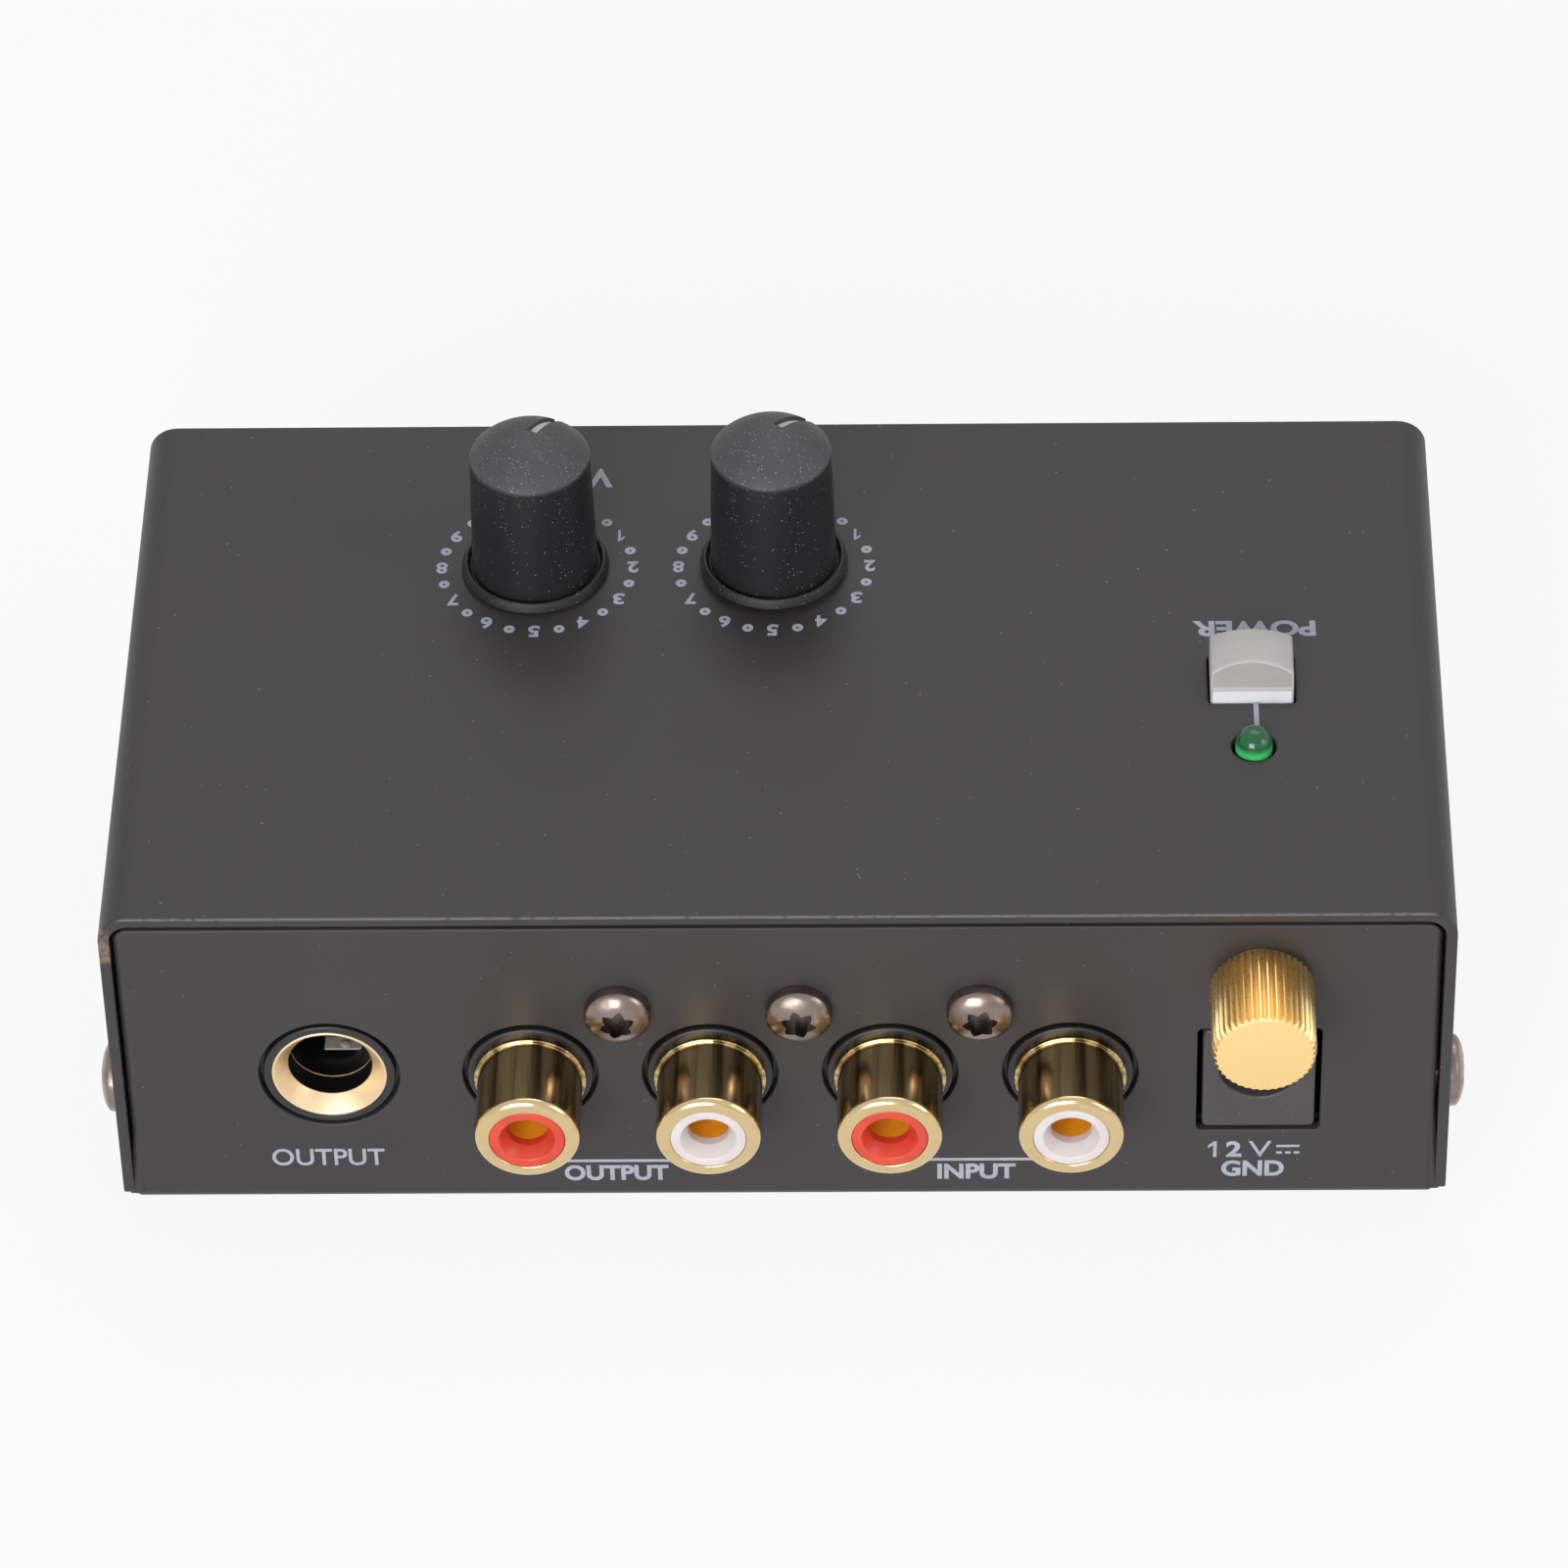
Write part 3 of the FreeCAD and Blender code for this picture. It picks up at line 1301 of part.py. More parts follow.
def make_controls():
    """Two controls: body, shaft, knob and leads."""
    leads = []
    rows = [
        ("left", knob_places[0], sizes.knob_float_left, sizes.pointer_left),
        ("right", knob_places[1], sizes.knob_float_right, sizes.pointer_right),
    ]
    for name, x, lift, pointer in rows:
        make_knob(name, x, lift, pointer)
        make_pot_shaft(name, x, lift, pointer)
        make_pot_body(name, x)
        for column in (-1, 0, 1):
            for row in (-1, 1):
                spot_x = x + sizes.terminal_pitch * column
                spot_y = knob_y + (sizes.pot_length / 2 + sizes.lead_side / 2) * row
                label = f"pot_lead_{name}_{column}_{row}"
                leads.append(lead(label, spot_x, spot_y, sizes.pot_lead_rise))
    together("pot_terminals", leads)


# Power button

def make_power_button():
    """Cap with an arched top, an upright front lip and a slope between them."""
    body = new_body("power_button")
    half = sizes.button_width / 2
    reach = sizes.button_depth / 2
    side = sizes.button_side
    crown = sizes.button_crown
    arch = (half * half + crown * crown) / (crown * 2)
    section = new_sketch(body, "XZ")
    stem = -sizes.button_stem
    corners = [(-half, stem), (half, stem), (half, side), (-half, side)]
    add_outline(section, corners, {2: (0, side + crown - arch)})
    pad(body, section, sizes.button_depth, both_ways=True)
    slope = new_sketch(body, "YZ")
    over = side + crown + sizes.overrun
    outer = -reach - sizes.overrun
    run = (over - sizes.button_lip) / sizes.button_slope
    lip = sizes.button_lip
    add_outline(slope, [(outer, lip), (-reach, lip), (-reach + run, over), (outer, over)])
    pocket(body, slope, sizes.button_width + sizes.overrun * 2, both_ways=True)
    socket = new_sketch(body, "XY", stem)
    grip = sizes.plunger_side / 2 + sizes.press_gap
    add_rectangle(socket, -grip, -grip, grip, grip)
    pocket(body, socket, sizes.plunger_grip, forwards=True)
    place(body, button_place, button_y, top)


def make_switch():
    """Square switch body, its plunger and the spring under it."""
    body = new_body("switch_body")
    half = sizes.switch_side / 2
    outline = new_sketch(body, "XY")
    add_rectangle(outline, -half, -half, half, half)
    pad(body, outline, sizes.switch_height)
    well = new_sketch(body, "XY", sizes.switch_height)
    guide = sizes.plunger_side / 2 + sizes.running_gap * 2
    add_rectangle(well, -guide, -guide, guide, guide)
    pocket(body, well, sizes.switch_height - sizes.switch_floor)
    place(body, button_place, button_y, board_top)

    foot = board_top + sizes.switch_floor + sizes.spring_room
    head = top - sizes.button_stem + sizes.plunger_grip
    plunger = new_body("switch_plunger")
    square = new_sketch(plunger, "XY")
    side = sizes.plunger_side / 2
    add_rectangle(square, -side, -side, side, side)
    pad(plunger, square, head - foot)
    hole = new_sketch(plunger, "XY")
    add_circle(hole, 0, 0, sizes.spring_hole)
    pocket(plunger, hole, sizes.spring_hole_depth, forwards=True)
    place(plunger, button_place, button_y, foot)

    outer = sizes.spring_diameter / 2
    inner = outer - sizes.spring_wire
    rise = sizes.spring_room + sizes.spring_hole_depth
    spring = turned("switch_spring", [(inner, 0), (outer, 0), (outer, rise), (inner, rise)])
    place(spring, button_place, button_y, board_top + sizes.switch_floor)

    leads = []
    for column in (-1, 0, 1):
        for row in (-1, 1):
            spot_x = button_place + sizes.switch_lead_pitch * column
            spot_y = button_y + (half + sizes.lead_side / 2) * row
            label = f"switch_lead_{column}_{row}"
            leads.append(lead(label, spot_x, spot_y, sizes.switch_lead_rise))
    together("switch_terminals", leads)


def make_indicator():
    """Clear domed indicator on two long leads."""
    radius = sizes.led_diameter / 2
    flange = sizes.led_flange / 2
    rim = sizes.led_flange_thickness
    shoulder = sizes.led_length - radius
    corners = [
        (0, 0),
        (flange, 0),
        (flange, rim),
        (radius, rim),
        (radius, shoulder),
        (0, sizes.led_length),
    ]
    lens = turned("led_lens", corners, {4: (0, shoulder)})
    base = top + sizes.led_rise - sizes.led_length
    place(lens, button_place, led_y, base)
    leads = []
    for side in (-1, 1):
        x = button_place + sizes.led_lead_pitch / 2 * side
        leads.append(lead(f"led_lead_{side}", x, led_y, base - board_top))
    together("led_leads", leads)


def find_pieces():
    """The pieces, each of which becomes one file."""
    parts = ["PartDesign::Body", "Part::Compound", "Part::MultiFuse", "Part::Cylinder"]
    members = set()
    for thing in doc.Objects:
        if thing.TypeId == "Part::Compound":
            members.update(link.Name for link in thing.Links)
    wanted = [thing for thing in doc.Objects if thing.TypeId in parts]
    return [thing for thing in wanted if thing.Name not in members]


def check_document():
    """Every object is up to date, and every piece is a valid closed shape."""
    for thing in doc.Objects:
        if {"Invalid", "Error"} & set(thing.State):
            raise ValueError(f"{thing.Label} did not compute: {thing.State}")
    for piece in find_pieces():
        shape = piece.Shape
        if shape.isNull() or not shape.isValid() or not shape.Solids:
            raise ValueError(f"{piece.Label} has no valid solid")


def export_pieces():
    os.makedirs("parts", exist_ok=True)
    for piece in find_pieces():
        piece.Shape.exportStep(os.path.join("parts", f"{piece.Label}.step"))


make_top_cover()
make_base_chassis()
make_side_screws()
make_rubber_feet()
make_board_mounting()
make_socket_block()
for number, x in enumerate(socket_places, start=1):
    make_socket_shell(number, x)
    make_socket_insulator(number, x)
make_socket_contacts()
make_block_screws()
make_jack_body()
make_jack_ferrule()
make_jack_contacts()
make_inlet()
make_ground_terminal()
make_controls()
make_power_button()
make_switch()
make_indicator()
make_chips()
make_capacitors()
make_surface_components()
make_circuit_board()
doc.recompute()
check_document()
export_pieces()
print(f"{len(find_pieces())} pieces")
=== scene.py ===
"""Dressed model of a small phono preamp in a folded steel case.

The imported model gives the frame: X to the right seen from the jack panel, Y to the rear
and Z up, with the origin under the middle of the case. Sizes here are millimetres, and each
mesh is turned into metres when it is finished.
"""

import json
import logging
import math
from collections.abc import Callable, Iterable, Sequence
from dataclasses import dataclass, field
from enum import Enum
from typing import Any, Union

import bmesh
import bpy
from mathutils import Euler, Matrix, Vector


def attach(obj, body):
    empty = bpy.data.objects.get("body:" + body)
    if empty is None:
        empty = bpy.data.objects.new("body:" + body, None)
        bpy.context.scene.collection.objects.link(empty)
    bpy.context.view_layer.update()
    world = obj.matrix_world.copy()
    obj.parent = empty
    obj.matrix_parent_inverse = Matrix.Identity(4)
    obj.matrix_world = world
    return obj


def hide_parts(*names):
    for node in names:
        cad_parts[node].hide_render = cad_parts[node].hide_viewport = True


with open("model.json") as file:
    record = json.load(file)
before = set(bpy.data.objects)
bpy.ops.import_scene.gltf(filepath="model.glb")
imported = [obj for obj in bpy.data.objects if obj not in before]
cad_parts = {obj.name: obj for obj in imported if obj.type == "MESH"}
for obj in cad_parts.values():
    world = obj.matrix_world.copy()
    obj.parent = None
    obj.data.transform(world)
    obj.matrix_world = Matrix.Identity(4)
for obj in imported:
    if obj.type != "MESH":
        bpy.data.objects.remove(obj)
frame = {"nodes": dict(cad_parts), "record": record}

logger = logging.getLogger("phono_preamp")
MM = 0.001
CLOSE = 1e-5
LEAST_RADIUS = 0.02
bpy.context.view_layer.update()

Pair = tuple[float, float]
Triple = tuple[float, float, float]
Colour = Triple
Outline = Callable[[float], list[Pair]]
Number = Union[float, int, "Channel"]


# Shader building


def paint_chip(red: int, green: int, blue: int) -> Colour:
    """Turns a colour as a screen shows it into the linear colour that a shader takes.

    Args:
        red: Red, from 0 to 255.
        green: Green, from 0 to 255.
        blue: Blue, from 0 to 255.

    Returns:
        The linear colour.
    """
    def linear(value: float) -> float:
        """Undoes the screen's curve for one channel."""
        return value / 12.92 if value <= 0.04045 else ((value + 0.055) / 1.055) ** 2.4

    return tuple(linear(channel / 255) for channel in (red, green, blue))


class Channel:
    """A value, vector or colour on its way between nodes, with Python's operators."""

    def __init__(self, shader: "Shader", socket: bpy.types.NodeSocket | None) -> None:
        """Keeps the socket and the shader that it belongs to."""
        self.shader = shader
        self.socket = socket

    def _work(self, operation: str, first: Number, second: Number = 0.0) -> "Channel":
        """Adds one Math node on two values or channels."""
        return self.shader.node("ShaderNodeMath", {"operation": operation}, {0: first, 1: second})

    def __add__(self, other: Number) -> "Channel":
        """Sum."""
        return self._work("ADD", self, other)

    __radd__ = __add__

    def __mul__(self, other: Number) -> "Channel":
        """Product."""
        return self._work("MULTIPLY", self, other)

    __rmul__ = __mul__

    def __sub__(self, other: Number) -> "Channel":
        """Difference."""
        return self._work("SUBTRACT", self, other)

    def __rsub__(self, other: Number) -> "Channel":
        """Difference, the other way round."""
        return self._work("SUBTRACT", other, self)

    def most(self, other: Number) -> "Channel":
        """The larger of two."""
        return self._work("MAXIMUM", self, other)

    def size(self) -> "Channel":
        """The value without its sign."""
        return self._work("ABSOLUTE", self)

    def above(self, edge: float, soft: float) -> "Channel":
        """A mask that is 1 where the value lies above an edge.

        Args:
            edge: Value at which the mask is halfway.
            soft: Width of the change.

        Returns:
            The mask.
        """
        limits = {1: edge - soft / 2, 2: edge + soft / 2}
        kind = {"interpolation_type": "SMOOTHSTEP"}
        return self.shader.node("ShaderNodeMapRange", kind, {0: self, **limits})

    def below(self, edge: float, soft: float) -> "Channel":
        """A mask that is 1 where the value lies below an edge."""
        return 1 - self.above(edge, soft)


class Shader:
    """The node tree of a material or a world."""

    def __init__(self, owner: bpy.types.Material | bpy.types.World) -> None:
        """Empties the owner's tree.

        Args:
            owner: The material or world.
        """
        self.owner = owner
        owner.use_nodes = True
        self.tree = owner.node_tree
        self.tree.nodes.clear()

    @classmethod
    def named(cls, name: str) -> "Shader":
        """Starts a new material."""
        return cls(bpy.data.materials.new(f"{name}_finish"))

    def node(
        self,
        kind: str,
        settings: dict[str, Any] | None = None,
        inputs: dict[int | str, Any] | None = None,
        output: int | str = 0,
    ) -> Channel:
        """Adds a node, its settings first and then its sockets.

        Args:
            kind: The node's type.
            settings: Properties by name.
            inputs: Values or channels by socket.
            output: The socket that is returned.

        Returns:
            The chosen output.
        """
        made = self.tree.nodes.new(kind)
        for key, value in (settings or {}).items():
            setattr(made, key, value)
        for key, value in (inputs or {}).items():
            socket = made.inputs[key]
            if isinstance(value, Channel):
                self.tree.links.new(value.socket, socket)
            elif isinstance(value, tuple) and len(value) == 3 and socket.type == "RGBA":
                socket.default_value = (*value, 1.0)
            else:
                socket.default_value = value
        return Channel(self, made.outputs[output] if len(made.outputs) else None)

    def place(self, scale: Triple = (1, 1, 1)) -> Channel:
        """The point on the piece in its own millimetres.

        Args:
            scale: How far the point is stretched along each axis.

        Returns:
            The point.
        """
        point = self.node("ShaderNodeTexCoord", output="Object")
        grown = tuple(value / MM for value in scale)
        return self.node("ShaderNodeVectorMath", {"operation": "MULTIPLY"}, {0: point, 1: grown})

    def part(self, vector: Channel, axis: int) -> Channel:
        """One component of a vector."""
        return self.node("ShaderNodeSeparateXYZ", inputs={0: vector}, output=axis)

    def noise(self, where: Channel, scale: float, detail: float = 3, rough: float = 0.5) -> Channel:
        """Smooth noise from 0 to 1, with its scale in features per millimetre."""
        inputs = {"Vector": where, "Scale": scale, "Detail": detail, "Roughness": rough}
        return self.node("ShaderNodeTexNoise", inputs=inputs)

    def specks(self, where: Channel, scale: float, radius: float, share: float) -> Channel:
        """Scattered round specks.

        Args:
            where: The point.
            scale: Cells per millimetre.
            radius: Speck's radius as a share of a cell.
            share: Share of the cells that hold a speck.

        Returns:
            The specks' mask.
        """
        inputs = {"Vector": where, "Scale": scale}
        near = self.node("ShaderNodeTexVoronoi", inputs=inputs)
        tint = self.node("ShaderNodeTexVoronoi", inputs=inputs, output="Color")
        chosen = self.part(tint, 0).below(edge=share, soft=0.01)
        chosen = chosen * (0.35 + self.part(tint, 1) * 0.65)
        return near.below(radius, radius * 0.6) * chosen

    def blend(self, factor: Number, first: Colour | Channel, second: Colour | Channel) -> Channel:
        """Mixes two colours."""
        inputs = {0: factor, 6: first, 7: second}
        return self.node("ShaderNodeMix", {"data_type": "RGBA"}, inputs, output=2)

    def bump(self, height: Channel, distance: float, strength: float = 1.0) -> Channel:
        """A normal bumped by a relief from 0 to 1, with its depth in millimetres."""
        inputs = {"Height": height, "Distance": distance * MM, "Strength": strength}
        return self.node("ShaderNodeBump", inputs=inputs, output="Normal")

    def to_background(self) -> Channel:
        """A mask of the rays that see the background directly.

        Returns:
            1 on rays from the camera, from a reflection or through glass.
        """
        seen = self.node("ShaderNodeLightPath", output="Is Camera Ray")
        for name in ("Is Glossy Ray", "Is Transmission Ray"):
            seen = seen.most(self.node("ShaderNodeLightPath", output=name))
        return seen

    def distance(self, where: Channel, place: Triple) -> Channel:
        """Distance in millimetres from a place on the piece."""
        inputs = {0: where, 1: place}
        return self.node("ShaderNodeVectorMath", {"operation": "DISTANCE"}, inputs, "Value")

    def finish(self, **sockets: Any) -> bpy.types.Material:
        """Ends the tree in one Principled shader.

        Args:
            **sockets: The shader's sockets, with an underscore for each blank.

        Returns:
            The material.
        """
        inputs = {name.replace("_", " "): value for name, value in sockets.items()}
        surface = self.node("ShaderNodeBsdfPrincipled", inputs=inputs)
        self.node("ShaderNodeOutputMaterial", inputs={0: surface})
        return self.owner


# Finishes


@dataclass(frozen=True)
class PaintedSteel:
    """Satin charcoal paint with a fine grain, dust, smudges, one worn corner and a paler front edge
    that is part wear and part painted highlight.
    """

    name: str = "charcoal_paint"
    colour: Colour = paint_chip(49, 46, 48)
    pale: Colour = paint_chip(59, 56, 57)
    dust: Colour = paint_chip(156, 154, 154)
    worn: Colour = paint_chip(128, 110, 96)
    wear_at: Triple = (-53.4, -29.8, -3.0)
    wear_reach: float = 2.8
    wear_uneven: float = 2.4
    front_edge: float = 29.66

    def build(self) -> bpy.types.Material:
        """Makes the material.

        Returns:
            The paint.
        """
        shader = Shader.named(self.name)
        point = shader.place()
        grain = shader.noise(point, scale=6.0, detail=4, rough=0.6)
        smudge = shader.noise(point, scale=0.045, detail=3, rough=0.55)
        smudge = smudge.above(edge=0.53, soft=0.2)
        dust = shader.specks(point, scale=0.8, radius=0.07, share=0.33)
        cloudy = grain.above(edge=0.5, soft=0.6) * 0.4 + smudge * 0.3
        base = shader.blend(cloudy, self.colour, self.pale)
        base = shader.blend(dust * 0.55, base, self.dust)
        # Paler line along the front top edge: partly wear and partly a painted highlight on the
        # rounded edge.
        worn_edge_and_highlight = shader.part(point, 1).size().above(edge=self.front_edge, soft=0.12)
        worn_edge_and_highlight = worn_edge_and_highlight * shader.part(point, 2).size().below(edge=0.16, soft=0.1)
        broken = shader.noise(point, scale=1.1, detail=4, rough=0.6).above(edge=0.4, soft=0.2)
        worn_edge_and_highlight = worn_edge_and_highlight * broken
        base = shader.blend(worn_edge_and_highlight * 0.3, base, self.dust)
        ragged = shader.noise(point, scale=1.6, detail=4, rough=0.6) * self.wear_uneven
        ragged = shader.distance(point, self.wear_at) + ragged
        wear = ragged.below(edge=self.wear_reach, soft=0.5)
        spots = shader.noise(point, scale=2.6, detail=4, rough=0.65).above(edge=0.5, soft=0.2)
        wear = wear * (0.35 + spots * 0.65)
        base = shader.blend(wear, base, self.worn)
        return shader.finish(
            Base_Color=base,
            Roughness=0.4 + grain * 0.12 + smudge * 0.06 - wear * 0.1,
            Metallic=wear * 0.3,
            Specular_IOR_Level=0.42,
            Normal=shader.bump(grain, distance=0.012, strength=0.5),
        )


@dataclass(frozen=True)
class Plating:
    """Polished or satin metal with fine turning lines and a faint tarnish."""

    name: str
    colour: Colour
    tarnish: Colour
    gloss: float = 0.12
    turned: float = 0.0
    spots: float = 0.15

    def build(self) -> bpy.types.Material:
        """Makes the material.

        Returns:
            The metal.
        """
        shader = Shader.named(self.name)
        point = shader.place()
        cloud = shader.noise(point, scale=0.55, detail=4, rough=0.6)
        fine = shader.noise(point, scale=9.0, detail=3, rough=0.5)
        lines = shader.noise(shader.place((0.4, 0.4, 14.0)), scale=1.0, detail=2, rough=0.5)
        dull = cloud.above(edge=0.56, soft=0.25) * self.spots
        base = shader.blend(dull, self.colour, self.tarnish)
        relief = fine * 0.3 + lines * self.turned
        return shader.finish(
            Base_Color=base,
            Metallic=1.0,
            Roughness=self.gloss + dull * 0.5 + fine * 0.06,
            Normal=shader.bump(relief, distance=0.006, strength=0.35),
        )


@dataclass(frozen=True)
class StreakedGold:
    """Gold plating whose lighter and darker streaks along the piece are painted reflections of its
    surroundings.
    """

    name: str = "gold_painted_reflections"
    # deep is a painted dark reflection and bright a painted bright reflection.
    deep: Colour = (0.17, 0.12, 0.055)
    bright: Colour = (0.72, 0.54, 0.27)

    def build(self) -> bpy.types.Material:
        """Makes the material.

        Returns:
            The metal.
        """
        shader = Shader.named(self.name)
        streak = shader.noise(shader.place((0.9, 0.9, 0.03)), scale=1.0, detail=3, rough=0.5)
        fine = shader.noise(shader.place((9.0, 9.0, 0.5)), scale=1.0, detail=2, rough=0.5)
        # Painted reflections: streaks between the dark and the bright gold.
        base = shader.blend(streak.above(edge=0.48, soft=0.2), self.deep, self.bright)
        return shader.finish(
            Base_Color=base,
            Metallic=1.0,
            Roughness=0.16 + fine * 0.08,
            Normal=shader.bump(fine, distance=0.004, strength=0.3),
        )


@dataclass(frozen=True)
class MouldedPlastic:
    """Moulded plastic with a faint grain, uneven gloss and a little dust."""

    name: str
    colour: Colour
    shade: Colour
    gloss: float = 0.4
    dust: float = 0.0
    glow: float = 0.0
    grain: float = 0.3

    def build(self) -> bpy.types.Material:
        """Makes the material.

        Returns:
            The plastic.
        """
        shader = Shader.named(self.name)
        point = shader.place()
        cloud = shader.noise(point, scale=0.35, detail=3, rough=0.55)
        fine = shader.noise(point, scale=12.0, detail=3, rough=0.6)
        base = shader.blend(cloud.above(edge=0.5, soft=0.6), self.colour, self.shade)
        flecks = shader.specks(point, scale=2.4, radius=0.11, share=0.25) * self.dust
        base = shader.blend(flecks, base, paint_chip(205, 203, 200))
        return shader.finish(
            Base_Color=base,
            Roughness=self.gloss + fine * 0.1 + flecks * 0.2,
            Subsurface_Weight=self.glow,
            Subsurface_Scale=0.0008,
            Normal=shader.bump(fine, distance=0.01, strength=self.grain),
        )


@dataclass(frozen=True)
class DustyCap:
    """Black knob plastic whose domed end is paler and dusty, with a painted highlight line at the
    dome's rim and painted shade on the skirt.
    """

    name: str = "knob_plastic"
    colour: Colour = paint_chip(30, 29, 32)
    crown: Colour = paint_chip(68, 66, 69)
    dust: Colour = paint_chip(196, 194, 194)
    # shade is painted shade on the skirt, below the height skirt; rim is the height of a painted
    # highlight line.
    shade: Colour = paint_chip(8, 8, 9)
    skirt: float = 1.2
    crown_from: float = 11.9
    rim: float = 11.72

    def build(self) -> bpy.types.Material:
        """Makes the material.

        Returns:
            The plastic.
        """
        shader = Shader.named(self.name)
        point = shader.place()
        height = shader.part(point, 2)
        domed = height.above(edge=self.crown_from, soft=0.2)
        fine = shader.noise(point, scale=12.0, detail=3, rough=0.6)
        cloud = shader.noise(point, scale=0.6, detail=3, rough=0.55)
        base = shader.blend(domed * (0.75 + cloud * 0.4), self.colour, self.crown)
        # Painted highlight: a paler line round the rim of the dome.
        line = (height - self.rim).size().below(edge=0.1, soft=0.08)
        base = shader.blend(line * 0.5, base, self.crown)
        # Painted shade: the skirt is darkened below its height.
        base = shader.blend(height.below(edge=self.skirt, soft=0.2) * 0.65, base, self.shade)
        thick = shader.specks(point, scale=4.0, radius=0.18, share=0.6) * domed
        thin = shader.specks(point, scale=3.4, radius=0.15, share=0.35) * (1 - domed)
        flecks = thick.most(thin)
        base = shader.blend(flecks * 0.7, base, self.dust)
        return shader.finish(
            Base_Color=base,
            Roughness=0.38 + (domed + height.below(edge=self.skirt, soft=0.2)) * 0.14 + fine * 0.1,
            Normal=shader.bump(fine, distance=0.01, strength=0.3),
        )


@dataclass(frozen=True)
class PrintInk:
    """Thin screen print with ragged edges and tiny pinholes."""

    name: str = "print_ink"
    colour: Colour = paint_chip(172, 176, 190)

    def build(self) -> bpy.types.Material:
        """Makes the material.

        Returns:
            The ink.
        """
        shader = Shader.named(self.name)
        point = shader.place()
        grain = shader.noise(point, scale=5.0, detail=4, rough=0.6)
        holes = grain.below(edge=0.36, soft=0.08)
        faded = shader.noise(point, scale=0.5, detail=2, rough=0.5).above(edge=0.55, soft=0.3)
        base = shader.blend(holes * 0.6 + faded * 0.15, self.colour, paint_chip(92, 90, 94))
        return shader.finish(Base_Color=base, Roughness=0.55 + grain * 0.1)


@dataclass(frozen=True)
class TintedLens:
    """Clear green moulding of an indicator, with painted light that brightens it towards its lower
    rim.
    """

    name: str = "green_lens"
    # bright is painted light for the lower rim.
    deep: Colour = paint_chip(10, 84, 48)
    bright: Colour = paint_chip(84, 214, 124)

    def build(self) -> bpy.types.Material:
        """Makes the material.

        Returns:
            The lens.
        """
        shader = Shader.named(self.name)
        point = shader.place()
        height = shader.part(point, 2)
        cloud = shader.noise(point, scale=1.2, detail=3, rough=0.5)
        # Painted light: the lens is brighter towards its lower rim.
        rim = height.below(edge=4.0, soft=0.7)
        base = shader.blend(rim * 0.85 + cloud * 0.12, self.deep, self.bright)
        return shader.finish(
            Base_Color=base,
            Roughness=0.06 + cloud * 0.05,
            Subsurface_Weight=0.4,
            Subsurface_Scale=0.0015,
        )


@dataclass(frozen=True)
class BoardLaminate:
    """Solder mask over copper tracks, with both colours darkened as painted shade for the inside of
    the case.
    """

    name: str = "board_laminate"

    def build(self) -> bpy.types.Material:
        """Makes the material.

        Returns:
            The laminate.
        """
        shader = Shader.named(self.name)
        point = shader.place()
        cells = {"Vector": point, "Scale": 0.35}
        tracks = shader.node("ShaderNodeTexVoronoi", {"feature": "DISTANCE_TO_EDGE"}, cells)
        copper = tracks.below(edge=0.08, soft=0.02)
        # Painted shade: both greens are darker than the board's own colour.
        base = shader.blend(copper, paint_chip(8, 28, 17), paint_chip(14, 42, 25))
        return shader.finish(
            Base_Color=base, Roughness=0.35, Normal=shader.bump(copper, distance=0.03, strength=0.6)
        )


SATIN: dict[str, float] = {"gloss": 0.5, "dust": 0.2, "glow": 0.2}


